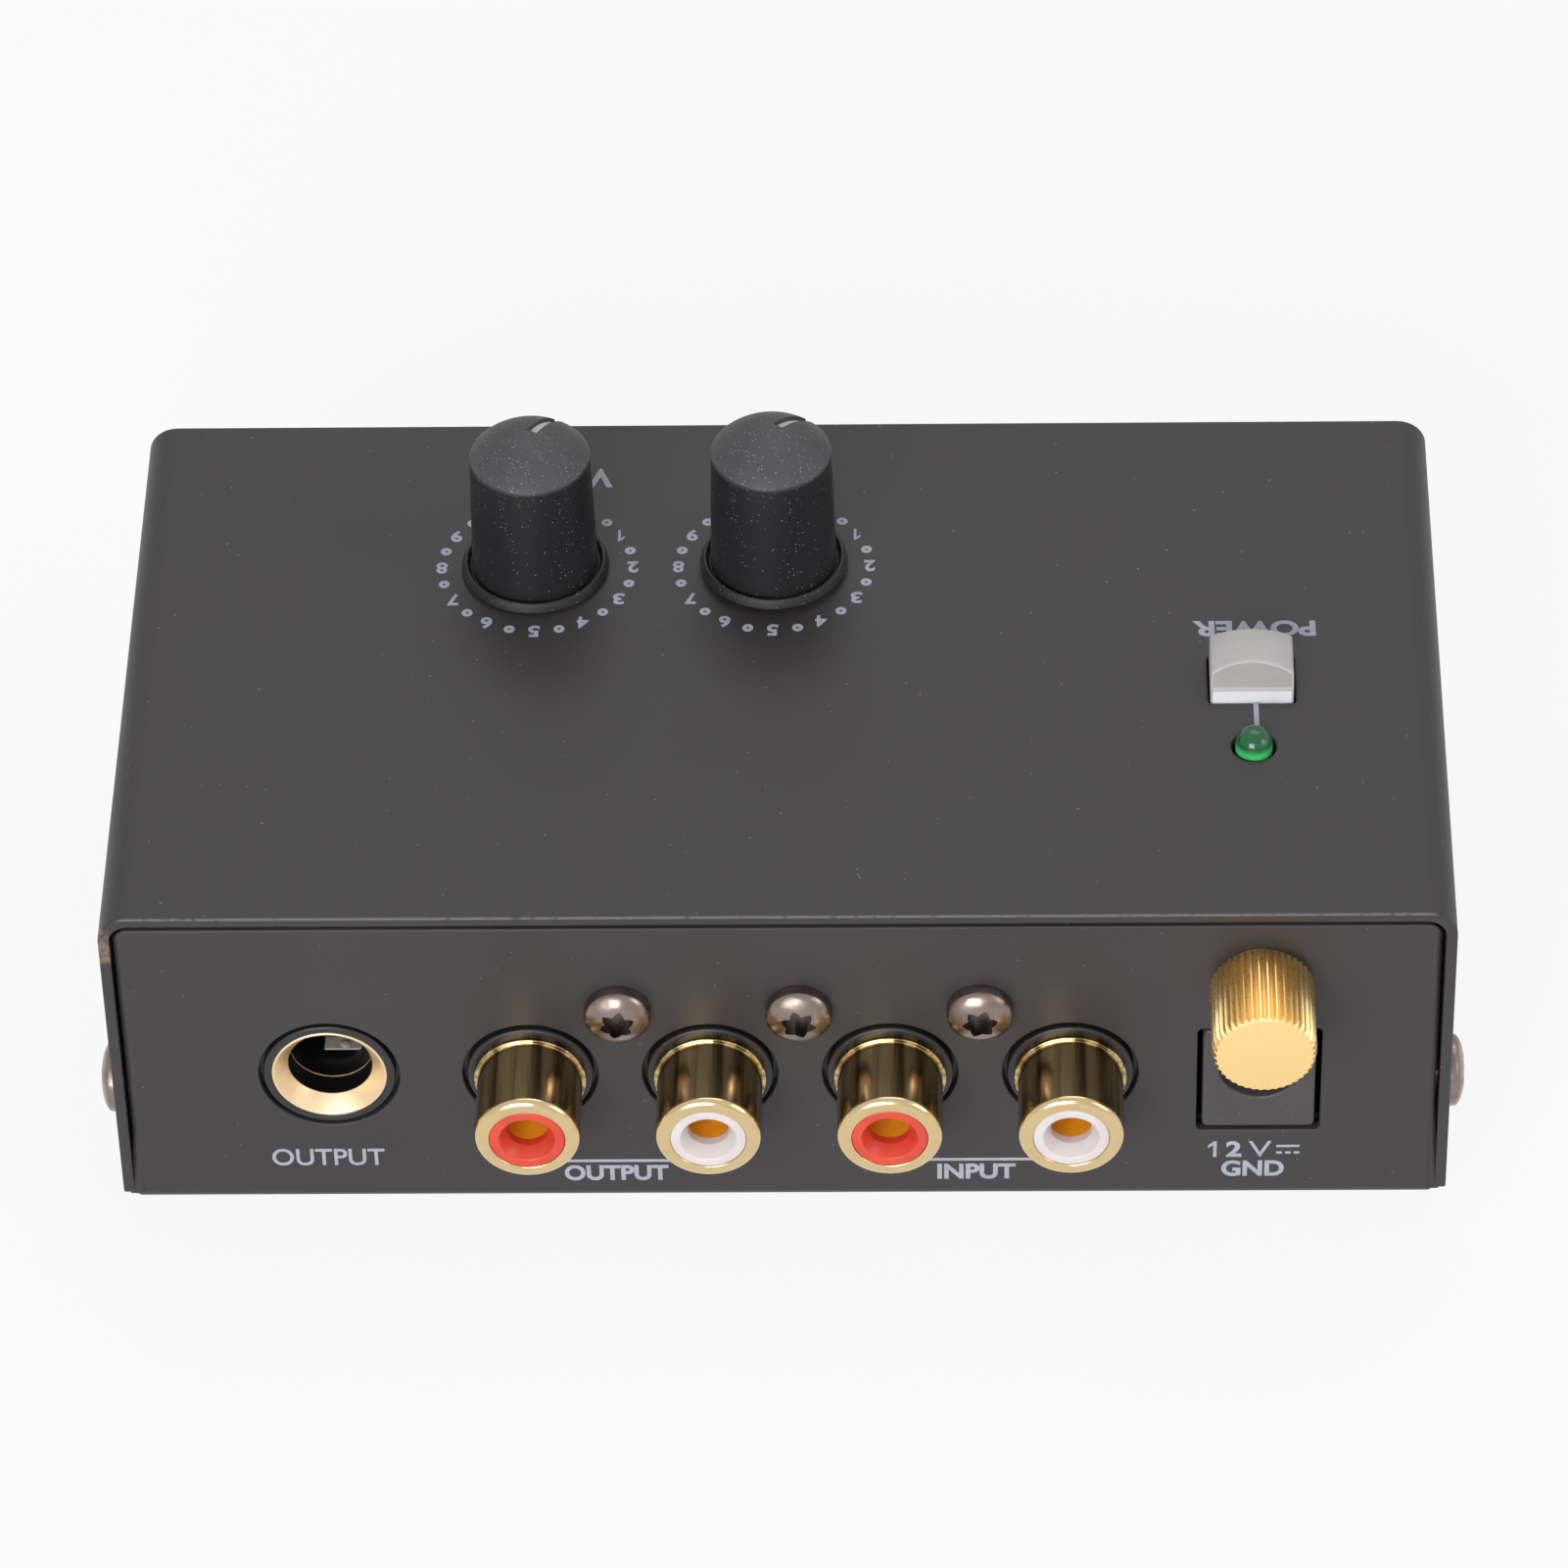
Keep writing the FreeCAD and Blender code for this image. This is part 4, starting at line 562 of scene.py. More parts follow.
class Finish(Enum):
    """Every finish on the object, by the maker's name for it."""

    PAINT = PaintedSteel()
    GOLD = Plating("polished_gold", (0.72, 0.55, 0.3), (0.45, 0.32, 0.15), gloss=0.14, turned=0.1)
    # Gold whose dark and bright streaks are painted reflections.
    AGED_GOLD = StreakedGold()
    CHAMPAGNE = Plating(
        "champagne_gold", (0.84, 0.66, 0.43), (0.7, 0.52, 0.32), gloss=0.4, turned=0.3
    )
    NUT_SIDE = Plating("knurled_gold", (1.0, 0.73, 0.34), (0.75, 0.5, 0.2), gloss=0.24, turned=0.4)
    NUT_END = Plating("satin_gold", (0.99, 0.71, 0.32), (0.85, 0.6, 0.27), gloss=0.34, turned=0.5)
    NICKEL = Plating(
        "dark_nickel", (0.28, 0.22, 0.195), (0.15, 0.12, 0.1), gloss=0.2, turned=0.2, spots=0.5
    )
    # Painted shade: a darker copy of the screw metal for the star recess.
    RECESS = Plating("recess_painted_shade", (0.12, 0.1, 0.09), (0.03, 0.03, 0.03), gloss=0.3)
    TIN = Plating("tinned_wire", (0.66, 0.65, 0.63), (0.45, 0.44, 0.42), gloss=0.3)
    BRASS = MouldedPlastic("lacquered_brass", (0.9, 0.4, 0.02), (0.7, 0.28, 0.012), gloss=0.3)
    # Painted shade: black darkened further for the inside of the jack's bore.
    BORE = MouldedPlastic("bore_painted_shade", paint_chip(14, 13, 14), paint_chip(18, 17, 18), gloss=0.3)
    SEAM = MouldedPlastic("bore_seam", (0.78, 0.58, 0.34), (0.6, 0.42, 0.22), gloss=0.3)
    LEAF = MouldedPlastic("contact_leaf", (0.42, 0.39, 0.35), (0.3, 0.27, 0.24), gloss=0.25)
    POINTER = MouldedPlastic("pointer_paint", (0.86, 0.87, 0.9), (0.6, 0.61, 0.64), gloss=0.5)
    KNOB = DustyCap()
    BLACK = MouldedPlastic(
        "black_plastic", paint_chip(24, 23, 24), paint_chip(36, 34, 34), gloss=0.35, dust=0.3
    )
    INLET = MouldedPlastic(
        "inlet_plastic", paint_chip(60, 56, 59), paint_chip(68, 64, 66), gloss=0.4, dust=0.3
    )
    RED = MouldedPlastic("red_insulator", (0.74, 0.07, 0.035), (0.6, 0.05, 0.025), 0.3, glow=0.3)
    WHITE = MouldedPlastic("white_insulator", (0.74, 0.69, 0.69), (0.66, 0.6, 0.59), 0.3, glow=0.3)
    BUTTON = MouldedPlastic(
        "button_plastic", paint_chip(187, 184, 184), paint_chip(193, 190, 190), **SATIN
    )
    # Painted shade and painted light: the button's sloped front is a darker copy and its upright
    # lip a whiter copy of the button plastic.
    BUTTON_SLOPE = MouldedPlastic(
        "button_slope", paint_chip(158, 153, 151), paint_chip(163, 158, 156), **SATIN
    )
    BUTTON_LIP = MouldedPlastic(
        "button_lip", paint_chip(234, 235, 242), paint_chip(238, 239, 245), **SATIN
    )
    RUBBER = MouldedPlastic(
        "foot_rubber", paint_chip(30, 30, 30), paint_chip(42, 41, 40), gloss=0.8, dust=0.6
    )
    SLEEVE = MouldedPlastic(
        "capacitor_sleeve", paint_chip(20, 24, 40), paint_chip(28, 32, 52), gloss=0.25
    )
    FILM = MouldedPlastic("film_case", paint_chip(150, 40, 24), paint_chip(130, 34, 20), gloss=0.3)
    INK = PrintInk()
    LENS = TintedLens()
    BOARD = BoardLaminate()

    def material(self) -> bpy.types.Material:
        """The finish's material, made when it is first asked for."""
        found = bpy.data.materials.get(f"{self.value.name}_finish")
        return found or self.value.build()


# Meshes


def arc(centre: Pair, radius: float, start: float, end: float, steps: int) -> list[Pair]:
    """Points along an arc between two angles in degrees, both ends included."""
    angles = [math.radians(start + (end - start) * i / steps) for i in range(steps + 1)]
    return [(centre[0] + radius * math.cos(a), centre[1] + radius * math.sin(a)) for a in angles]


def disc(x: float, y: float, diameter: float, count: int = 72) -> Outline:
    """A round outline, as a function of how far it is moved inwards."""
    return lambda inset: arc((x, y), diameter / 2 - inset, 0, 360 - 360 / count, count - 1)


def panel(
    low: Pair, high: Pair, corner: float | Sequence[float] = 0.3, steps: int = 6
) -> Outline:
    """A rectangle with round corners, as a function of how far it is moved inwards.

    Args:
        low: Lower left corner.
        high: Upper right corner.
        corner: Corner radius, or one for each corner from the upper right anticlockwise.
        steps: Chords in each corner.

    Returns:
        A function from the inset to the points.
    """
    radii = [corner] * 4 if isinstance(corner, (int, float)) else list(corner)

    def outline(inset: float) -> list[Pair]:
        """Lays out the points.

        Args:
            inset: How far the outline is moved inwards.

        Returns:
            The points, anticlockwise from the right.
        """
        left, bottom = low[0] + inset, low[1] + inset
        right, top = high[0] - inset, high[1] - inset
        points = []
        for number, (x, y, sx, sy) in enumerate(
            [(right, top, -1, -1), (left, top, 1, -1), (left, bottom, 1, 1), (right, bottom, -1, 1)]
        ):
            radius = max(radii[number] - inset, LEAST_RADIUS)
            centre = (x + sx * radius, y + sy * radius)
            points += arc(centre, radius, 90 * number, 90 * number + 90, steps)
        return points

    return outline


def soften(corners: Sequence[tuple[float, ...]], steps: int = 4) -> list[Pair]:
    """Rounds the corners of a line.

    Args:
        corners: Points as (across, along) or (across, along, radius).
        steps: Chords in each rounded corner.

    Returns:
        The finer line.
    """
    line: list[Pair] = []
    for number, corner in enumerate(corners):
        here = Vector(corner[:2])
        radius = corner[2] if len(corner) > 2 else 0
        if not radius or number in (0, len(corners) - 1):
            line.append((here.x, here.y))
            continue
        before = (Vector(corners[number - 1][:2]) - here).normalized()
        after = (Vector(corners[number + 1][:2]) - here).normalized()
        half = before.angle(after) / 2
        reach = radius / math.tan(half)
        centre = here + (before + after).normalized() * (radius / math.sin(half))
        first, last = here + before * reach - centre, here + after * reach - centre
        for step in range(steps + 1):
            ray = first.lerp(last, step / steps).normalized() * radius
            line.append((centre.x + ray.x, centre.y + ray.y))
    return line


class Build:
    """Gathers one mesh in millimetres and hands it over as an object in metres."""

    def __init__(self, name: str) -> None:
        """Starts an empty mesh for the piece of that name."""
        self.name = name
        self.mesh = bmesh.new()

    def ring(self, points: Iterable[Sequence[float]]) -> list[bmesh.types.BMVert]:
        """Adds a row of points."""
        return [self.mesh.verts.new(point) for point in points]

    def bridge(
        self, first: list[bmesh.types.BMVert], second: list[bmesh.types.BMVert], slot: int = 0
    ) -> None:
        """Joins two closed rows that have the same number of points.

        Args:
            first: One row.
            second: The other row.
            slot: Material slot of the new faces.
        """
        count = len(first)
        for i in range(count):
            j = (i + 1) % count
            made = self.mesh.faces.new((first[i], first[j], second[j], second[i]))
            made.material_index = slot

    def lathe(
        self,
        line: Sequence[Pair],
        centre: Pair = (0, 0),
        count: int = 96,
        slots: Callable[[float, float], int] = lambda radius, height: 0,
    ) -> "Build":
        """Turns a line about an upright axis.

        Args:
            line: Points as (radius, height).
            centre: The axis's place.
            count: Points round the axis.
            slots: Material slot from the middle of a band.

        Returns:
            The build itself.
        """
        rows: list[list[bmesh.types.BMVert]] = []
        turns = [math.tau * i / count for i in range(count)]
        for radius, height in line:
            if radius < 1e-6:
                rows.append(self.ring([(centre[0], centre[1], height)]))
            else:
                rows.append(
                    self.ring(
                        (centre[0] + radius * math.cos(a), centre[1] + radius * math.sin(a), height)
                        for a in turns
                    )
                )
        for number, (low, high) in enumerate(zip(rows, rows[1:])):
            radius = (line[number][0] + line[number + 1][0]) / 2
            slot = slots(radius, (line[number][1] + line[number + 1][1]) / 2)
            if len(low) > 1 and len(high) > 1:
                self.bridge(low, high, slot)
            elif len(low) > 1 or len(high) > 1:
                tip, wide = (low, high) if len(low) == 1 else (high, low)
                for i in range(count):
                    made = self.mesh.faces.new((tip[0], wide[i], wide[(i + 1) % count]))
                    made.material_index = slot
        return self

    def plate(
        self,
        outlines: Sequence[Outline],
        thickness: float,
        edge: float = 0.12,
        top: float = 0.0,
        steps: int = 3,
    ) -> "Build":
        """A flat plate with holes and rounded edges.

        Args:
            outlines: The outer outline, then the holes.
            thickness: The plate's thickness.
            edge: Radius of every edge.
            top: Height of the upper face.
            steps: Chords in each rounded edge.

        Returns:
            The build itself.
        """
        caps: dict[bool, list[bmesh.types.BMEdge]] = {True: [], False: []}
        for number, outline in enumerate(outlines):
            inward = 1 if number == 0 else -1
            rows = []
            for upper in (True, False):
                half = []
                for step in range(steps + 1):
                    angle = math.radians(90 * step / steps)
                    inset = edge * (1 - math.sin(angle)) * inward
                    drop = edge * (1 - math.cos(angle))
                    height = top - drop if upper else top - thickness + drop
                    half.append(self.ring((*point, height) for point in outline(inset)))
                rows += half if upper else half[::-1]
            for low, high in zip(rows, rows[1:]):
                self.bridge(low, high)
            for upper, row in ((True, rows[0]), (False, rows[-1])):
                for i, corner in enumerate(row):
                    joined = self.mesh.edges.get((corner, row[(i + 1) % len(row)]))
                    joined.smooth = False
                    caps[upper].append(joined)
        for edges in caps.values():
            bmesh.ops.triangle_fill(self.mesh, use_beauty=True, edges=edges)
        return self

    def fold(
        self,
        axis: int,
        line: float,
        side: int,
        radius: float,
        keep: Callable[[Vector], bool] = lambda point: True,
        steps: int = 8,
    ) -> "Build":
        """Folds the part of a plate beyond a line downwards by a right angle.

        Args:
            axis: 0 to fold along X, 1 along Y.
            line: Where the bend starts.
            side: 1 if the folded part lies above the line, -1 below.
            radius: Radius of the upper face's bend.
            keep: Whether a point beyond the line belongs to the folded part.
            steps: Chords in the bend.

        Returns:
            The build itself.
        """
        length = radius * math.pi / 2
        normal = Vector((side if axis == 0 else 0, side if axis == 1 else 0, 0))
        for step in range(steps + 1):
            reach = line + side * length * step / steps
            at = Vector((reach if axis == 0 else 0, reach if axis == 1 else 0, 0))
            everything = self.mesh.verts[:] + self.mesh.edges[:] + self.mesh.faces[:]
            bmesh.ops.bisect_plane(
                self.mesh, geom=everything, dist=CLOSE, plane_co=at, plane_no=normal
            )
        for vert in self.mesh.verts:
            beyond = side * (vert.co[axis] - line)
            if beyond <= 0 or not keep(vert.co):
                continue
            turn = min(beyond / radius, math.pi / 2)
            rest = max(beyond - length, 0)
            arm = radius + vert.co.z
            vert.co[axis] = line + side * (arm * math.sin(turn) + rest * math.cos(turn))
            vert.co.z = arm * math.cos(turn) - radius - rest * math.sin(turn)
        return self

    def bevelled(self, width: float, steps: int = 3, angle: float = 30) -> "Build":
        """Rounds every edge that is sharper than an angle.

        Args:
            width: Width of the rounded edge.
            steps: Chords across it.
            angle: The angle in degrees.

        Returns:
            The build itself.
        """
        limit = math.radians(angle)
        inner = [edge for edge in self.mesh.edges if len(edge.link_faces) == 2]
        edges = [edge for edge in inner if edge.calc_face_angle() > limit]
        bmesh.ops.bevel(
            self.mesh, geom=edges, offset=width, segments=steps, affect="EDGES", profile=0.5,
            clamp_overlap=True,
        )
        return self

    def cut(self, tool: "Build") -> "Build":
        """Takes another closed mesh out of this one.

        Args:
            tool: What is cut away; its faces keep their slots.

        Returns:
            The build itself.
        """
        holders = []
        for build in (self, tool):
            bmesh.ops.recalc_face_normals(build.mesh, faces=build.mesh.faces[:])
            data = bpy.data.meshes.new(build.name)
            build.mesh.to_mesh(data)
            for _ in range(2):
                data.materials.append(None)
            holders.append(bpy.data.objects.new(build.name, data))
            bpy.context.scene.collection.objects.link(holders[-1])
        boolean = holders[0].modifiers.new("cut", "BOOLEAN")
        boolean.operation = "DIFFERENCE"
        boolean.solver = "EXACT"
        boolean.object = holders[1]
        shaped = holders[0].evaluated_get(bpy.context.evaluated_depsgraph_get())
        result = bpy.data.meshes.new_from_object(shaped)
        self.mesh.free()
        self.mesh = bmesh.new()
        self.mesh.from_mesh(result)
        for holder in holders:
            bpy.data.meshes.remove(holder.data)
        bpy.data.meshes.remove(result)
        return self

    def prism(self, points: Sequence[Pair], low: float, high: float, slot: int = 0) -> "Build":
        """Adds an upright prism.

        Args:
            points: The prism's outline.
            low: Height of its lower face.
            high: Height of its upper face.
            slot: Material slot of its faces.

        Returns:
            The build itself.
        """
        floor = self.ring((*point, low) for point in points)
        roof = self.ring((*point, high) for point in points)
        self.bridge(floor, roof, slot)
        for row in (floor, roof):
            self.mesh.faces.new(row).material_index = slot
        return self

    def take(self, other: "Build") -> "Build":
        """Adds another build's mesh to this one.

        Args:
            other: The build that is used up.

        Returns:
            The build itself.
        """
        data = bpy.data.meshes.new("loan")
        other.mesh.to_mesh(data)
        other.mesh.free()
        self.mesh.from_mesh(data)
        bpy.data.meshes.remove(data)
        return self

    def move(self, matrix: Matrix) -> "Build":
        """Moves everything gathered so far."""
        bmesh.ops.transform(self.mesh, matrix=matrix, verts=self.mesh.verts[:])
        return self

    def hand_over(
        self,
        body: str,
        finishes: Sequence[Finish],
        slot: str,
        nodes: Sequence[str] = (),
        where: Matrix | None = None,
        sharp: float = 40,
    ) -> bpy.types.Object:
        """Makes the object, with its finish, body and nodes.

        Args:
            body: The body that it rides on.
            finishes: One finish for each material slot.
            slot: The record's material slot; not used.
            nodes: The nodes that it stands for.
            where: Place of the piece in millimetres.
            sharp: Angle in degrees from which an edge is sharp.

        Returns:
            The object.
        """
        bmesh.ops.remove_doubles(self.mesh, verts=self.mesh.verts[:], dist=CLOSE)
        bmesh.ops.recalc_face_normals(self.mesh, faces=self.mesh.faces[:])
        self.move(Matrix.Scale(MM, 4))
        data = bpy.data.meshes.new(self.name)
        self.mesh.to_mesh(data)
        self.mesh.free()
        data.polygons.foreach_set("use_smooth", [True] * len(data.polygons))
        kept = [edge.use_edge_sharp for edge in data.edges]
        data.set_sharp_from_angle(angle=math.radians(sharp))
        for edge, before in zip(data.edges, kept):
            edge.use_edge_sharp = edge.use_edge_sharp or before
        for finish in finishes:
            data.materials.append(finish.material())
        piece = bpy.data.objects.new(self.name, data)
        bpy.context.scene.collection.objects.link(piece)
        if where is not None:
            at = where.copy()
            at.translation = where.translation * MM
            piece.matrix_world = at
        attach(piece, body)
        if nodes:
            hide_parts(*nodes)
        logger.info("made %s, %d faces", self.name, len(data.polygons))
        return piece


def stand(x: float, y: float, z: float, turn: float = 0.0) -> Matrix:
    """A place for a piece that stands upright, turned about its own axis."""
    return Matrix.Translation((x, y, z)) @ Matrix.Rotation(math.radians(turn), 4, "Z")


def outward(x: float, y: float, z: float, turn: float = 0.0) -> Matrix:
    """A place for a piece whose own Z axis points out of the jack panel."""
    facing = Matrix.Rotation(math.radians(90), 4, "X")
    return Matrix.Translation((x, y, z)) @ facing @ Matrix.Rotation(math.radians(turn), 4, "Z")


# The object


@dataclass
class Case:
    """Folded cover and folded base, with screws and feet."""

    width: float = 107.0
    depth: float = 59.6
    low: float = 2.0
    top: float = 33.6
    plate: float = 0.9
    bend: float = 2.5
    lift: float = 0.65
    side_gap: float = 0.2
    top_gap: float = 0.35
    base_bend: float = 1.2
    panel_corner: float = 1.3
    lower_round: float = 1.0
    flange_bend: float = 0.95
    flange: float = 8.0
    flange_gap: float = 0.4
    flange_drop: float = 0.5
    edge: float = 0.13
    lower_corner: float = 0.7
    screw_inset: float = 4.2
    screw_level: float = 12.2
    foot_places: Pair = (43.5, 19.8)
    foot_radii: Pair = (3.6, 4.0)

    @property
    def front(self) -> float:
        """The jack panel's outer face."""
        return -self.depth / 2

    def make_cover(self, holes: Sequence[Outline]) -> None:
        """Top and sides in one folded sheet.

        Args:
            holes: Outlines of the holes in the top.
        """
        flat = self.width / 2 - self.bend
        reach = flat + self.bend * math.pi / 2 + self.top - self.bend - self.low - self.lift
        half = self.depth / 2
        sheet = Build("top_cover_sheet")
        outline = panel((-reach, -half), (reach, half), self.lower_corner)
        sheet.plate([outline, *holes], self.plate, self.edge)
        for side in (-1, 1):
            sheet.fold(0, flat * side, side, self.bend, steps=12)
        sheet.hand_over(
            "case", [Finish.PAINT], "charcoal_paint", ["top_cover"],
            where=stand(0, 0, self.top), sharp=60,
        )

    def make_base(self, holes: Sequence[Outline]) -> None:
        """Floor and both panels in one folded sheet.

        Args:
            holes: Outlines of the jack panel's holes as (across, above the underside).
        """
        half_width = self.width / 2 - self.plate - self.side_gap
        floor = self.depth / 2 - self.base_bend
        rise = self.top - self.plate - self.top_gap - self.low - self.base_bend
        turn = self.base_bend * math.pi / 2
        reach = floor + turn + rise

        def on_panel(outline: Outline) -> Outline:
            """Moves a hole from the upright panel to the flat sheet."""
            shift = floor + turn - self.base_bend
            return lambda inset: [(x, -(y + shift)) for x, y in outline(inset)][::-1]

        def beside_panel(point: Vector) -> bool:
            """Whether a point belongs to a flange and not to the floor."""
            return abs(point.y) > floor + turn + self.flange_gap / 4

        flange_flat = half_width - self.flange_bend
        wing = flange_flat + self.flange_bend * math.pi / 2 + self.flange
        notch = floor + turn + self.flange_gap
        stop = reach - self.panel_corner - self.flange_drop

        def outline(inset: float) -> list[Pair]:
            """The flat sheet, with four flanges beside the panels.

            Args:
                inset: How far the outline is moved inwards.

            Returns:
                The points, anticlockwise from the right.
            """
            corner, curve = self.panel_corner, self.lower_round
            points = [(half_width - inset, floor - curve)]
            for angle in (0, 30, 60, 80):
                height = curve * (1 - math.cos(math.radians(angle)))
                along = self.base_bend * math.acos(1 - height / self.base_bend)
                across = half_width - curve + curve * math.sin(math.radians(angle))
                points.append((across - inset, floor + along))
            points += [(wing - inset, notch + inset), (wing - inset, stop - inset)]
            centre = (half_width - corner, reach - corner)
            points += arc(centre, corner - inset, 8, 90, 8)
            half = points + [(-x, y) for x, y in reversed(points)]
            return half + [(-x, -y) for x, y in half]

        sheet = Build("base_sheet")
        sheet.plate([outline, *[on_panel(hole) for hole in holes]], self.plate, self.edge)
        for side in (-1, 1):
            sheet.fold(0, flange_flat * side, side, self.flange_bend, keep=beside_panel)
        for side in (-1, 1):
            sheet.fold(1, floor * side, side, self.base_bend)
        sheet.move(Matrix.Scale(-1, 4, (0, 0, 1)))
        sheet.hand_over(
            "case", [Finish.PAINT], "charcoal_paint", ["base_chassis"],
            where=stand(0, 0, self.low), sharp=60,
        )

    def make_screws(self) -> None:
        """Two screws in each side."""
        screws = Build("side_screw_set")
        screw = ScrewHead(head=5.8, height=1.4, length=5.0, shank=2.9)
        across, along = self.width / 2, self.depth / 2 - self.screw_inset
        for side in (-1, 1):
            for end in (-1, 1):
                one = screw.shape("side_screw")
                at = Matrix.Translation((across * side, along * end, self.screw_level))
                one.move(at @ Matrix.Rotation(math.radians(90 * side), 4, "Y"))
                screws.take(one)
        screws.hand_over("case", [Finish.NICKEL, Finish.RECESS], "nickel", ["side_screws"])

    def make_feet(self) -> None:
        """Four small rubber feet."""
        feet = Build("foot_set")
        face, seat = self.foot_radii
        line = soften([(0, 0), (face, 0, 0.5), (seat, self.low), (0, self.low)])
        for x in (-1, 1):
            for y in (-1, 1):
                feet.lathe(line, (self.foot_places[0] * x, self.foot_places[1] * y), 48)
        feet.hand_over("case", [Finish.RUBBER], "foot_rubber", ["rubber_feet"])


@dataclass
class ScrewHead:
    """Pan head with a six-pointed star recess, and its shank."""

    head: float
    height: float
    length: float
    shank: float
    recess: float = 1.1
    lobes: int = 6
    lobe_radius: float = 0.46
    lobe_swing: float = 0.09
    dome_steps: int = 8

    def shape(self, name: str) -> Build:
        """Makes the screw, seated at the origin with its head along Z.

        Args:
            name: Name of the mesh.

        Returns:
            The build.
        """
        radius = self.head / 2
        dome = [
            (radius * math.cos(a), self.height * (0.4 + 0.6 * math.sin(a) ** 1.2))
            for a in [math.radians(90 * i / self.dome_steps) for i in range(self.dome_steps + 1)]
        ]
        line = [(0, -self.length), (self.shank / 2, -self.length), (self.shank / 2, 0)]
        line += [(radius - 0.08, 0), (radius, 0.08)] + dome[:-1] + [(0, self.height)]
        screw = Build(name).lathe(line, count=48)
        star = Build("star")
        points = []
        count = self.lobes * 4
        for i in range(count):
            swing = self.lobe_swing * math.cos(math.radians(i * 90))
            reach = radius * (self.lobe_radius + swing)
            angle = math.radians(i * 360 / count)
            points.append((reach * math.cos(angle), reach * math.sin(angle)))
        # The recess walls take the second slot, the darker metal that is painted shade.
        star.prism(points, self.height - self.recess, self.height + 1, 1)
        return screw.cut(star)


@dataclass
class PhonoSocket:
    """Gold outer contact round a coloured insulator."""

    shell: float = 8.4
    reach: float = 7.5
    seat: float = 3.8
    step: float = 9.0
    boss_proud: float = 0.2
    insulator: float = 6.0
    pin_hole: float = 3.3
    funnel: float = 4.5
    funnel_depth: float = 1.1
    contact_depth: float = 1.8
    flange: float = 0.6
    bright_end: float = 0.7
    play: float = 0.02

    def make(self, number: int, x: float, y: float, z: float, tint: Finish) -> None:
        """Makes the contact and the insulator.

        Args:
            number: The socket's number.
            x: Its place across the panel.
            y: The panel's face.
            z: Its height.
            tint: The insulator's finish.
        """
        inner = self.insulator / 2 + self.play
        outer = self.shell / 2
        low = self.boss_proud
        line = soften(
            [
                (inner, -self.seat),
                (outer, -self.seat),
                (outer, low),
                (self.step / 2, low),
                (self.step / 2, low + self.flange, 0.15),
                (outer, low + self.flange, 0.1),
                (outer, self.reach, 0.6),
                (inner, self.reach, 0.12),
                (inner, -self.seat),
            ],
            6,
        )
        place = outward(x, y, z)
        # The outer side and flange take the gold with painted reflection streaks; the band at the
        # front end keeps the polished gold.
        reflection_streak_radius, bright = outer - 0.05, self.reach - self.bright_end
        shell = Build(f"gold_shell_{number}").lathe(
            line, slots=lambda radius, height: int(radius > reflection_streak_radius and height < bright)
        )
        finishes = [Finish.GOLD, Finish.AGED_GOLD]
        shell.hand_over("case", finishes, "gold", [f"socket_shell_{number}"], place)
        face = self.reach - 0.05
        hole = self.pin_hole / 2
        brass = face - self.contact_depth
        line = soften(
            [
                (hole, -self.seat),
                (hole, brass),
                (hole, face - self.funnel_depth, 0.1),
                (self.funnel / 2, face, 0.15),
                (inner - self.play, face, 0.1),
                (inner - self.play, -self.seat),
                (hole, -self.seat),
            ]
        )
        core = Build(f"insulator_{number}").lathe(
            line, slots=lambda radius, height: int(radius < hole + self.play and height < brass)
        )
        slot = "red_plastic" if tint is Finish.RED else "white_plastic"
        node = f"socket_insulator_{number}"
        core.hand_over("case", [tint, Finish.BRASS], slot, [node], place)


@dataclass
class SocketRow:
    """Four phono sockets on one moulded block, with three screws."""

    first: float = -19.96
    pitch: float = 14.37
    level: float = 16.36
    screw_level: float = 23.45
    screw_turns: tuple[float, ...] = (20, 45, 70)
    hole: float = 10.8
    boss: float = 10.07
    boss_proud: float = 0.2
    bore: float = 8.42
    margin: float = 7.0
    board_top: float = 10.1
    block_top: float = 27.0
    block_depth: float = 10.5
    plate: float = 0.9

    def places(self) -> list[float]:
        """The sockets' places across the panel."""
        return [self.first + self.pitch * i for i in range(4)]

    def holes(self, low: float) -> list[Outline]:
        """The panel's holes, above the underside."""
        return [disc(x, self.level - low, self.hole, 96) for x in self.places()]

    def make(self, front: float) -> None:
        """Makes the block, its bosses, the sockets and the screws.

        Args:
            front: The panel's face.
        """
        places = self.places()
        block = Build("socket_moulding")
        low = (places[0] - self.margin, self.board_top)
        high = (places[-1] + self.margin, self.block_top)
        holes = [disc(x, self.level, self.bore, 48) for x in places]
        block.plate([panel(low, high, 0.4), *holes], self.block_depth, 0.2, -self.plate)
        inner, outer = self.bore / 2, self.boss / 2
        root, proud = -self.plate - 0.2, self.boss_proud
        ring = soften([(inner, root), (inner, proud, 0.1), (outer, proud, 0.25), (outer, root)])
        for x in places:
            block.lathe(ring, (x, self.level))
        block.hand_over(
            "case", [Finish.BLACK], "black_plastic", ["socket_block"], outward(0, front, 0)
        )
        for number, x in enumerate(places, start=1):
            tint = Finish.RED if number % 2 else Finish.WHITE
            PhonoSocket().make(number, x, front, self.level, tint)
        screws = Build("block_screw_set")
        screw = ScrewHead(head=5.3, height=2.0, length=8.0, shank=2.6)
        for x, turn in zip(places, self.screw_turns):
            one = screw.shape("block_screw")
            screws.take(one.move(outward(x + self.pitch / 2, front, self.screw_level, turn)))
        screws.hand_over("case", [Finish.NICKEL, Finish.RECESS], "nickel", ["block_screws"])


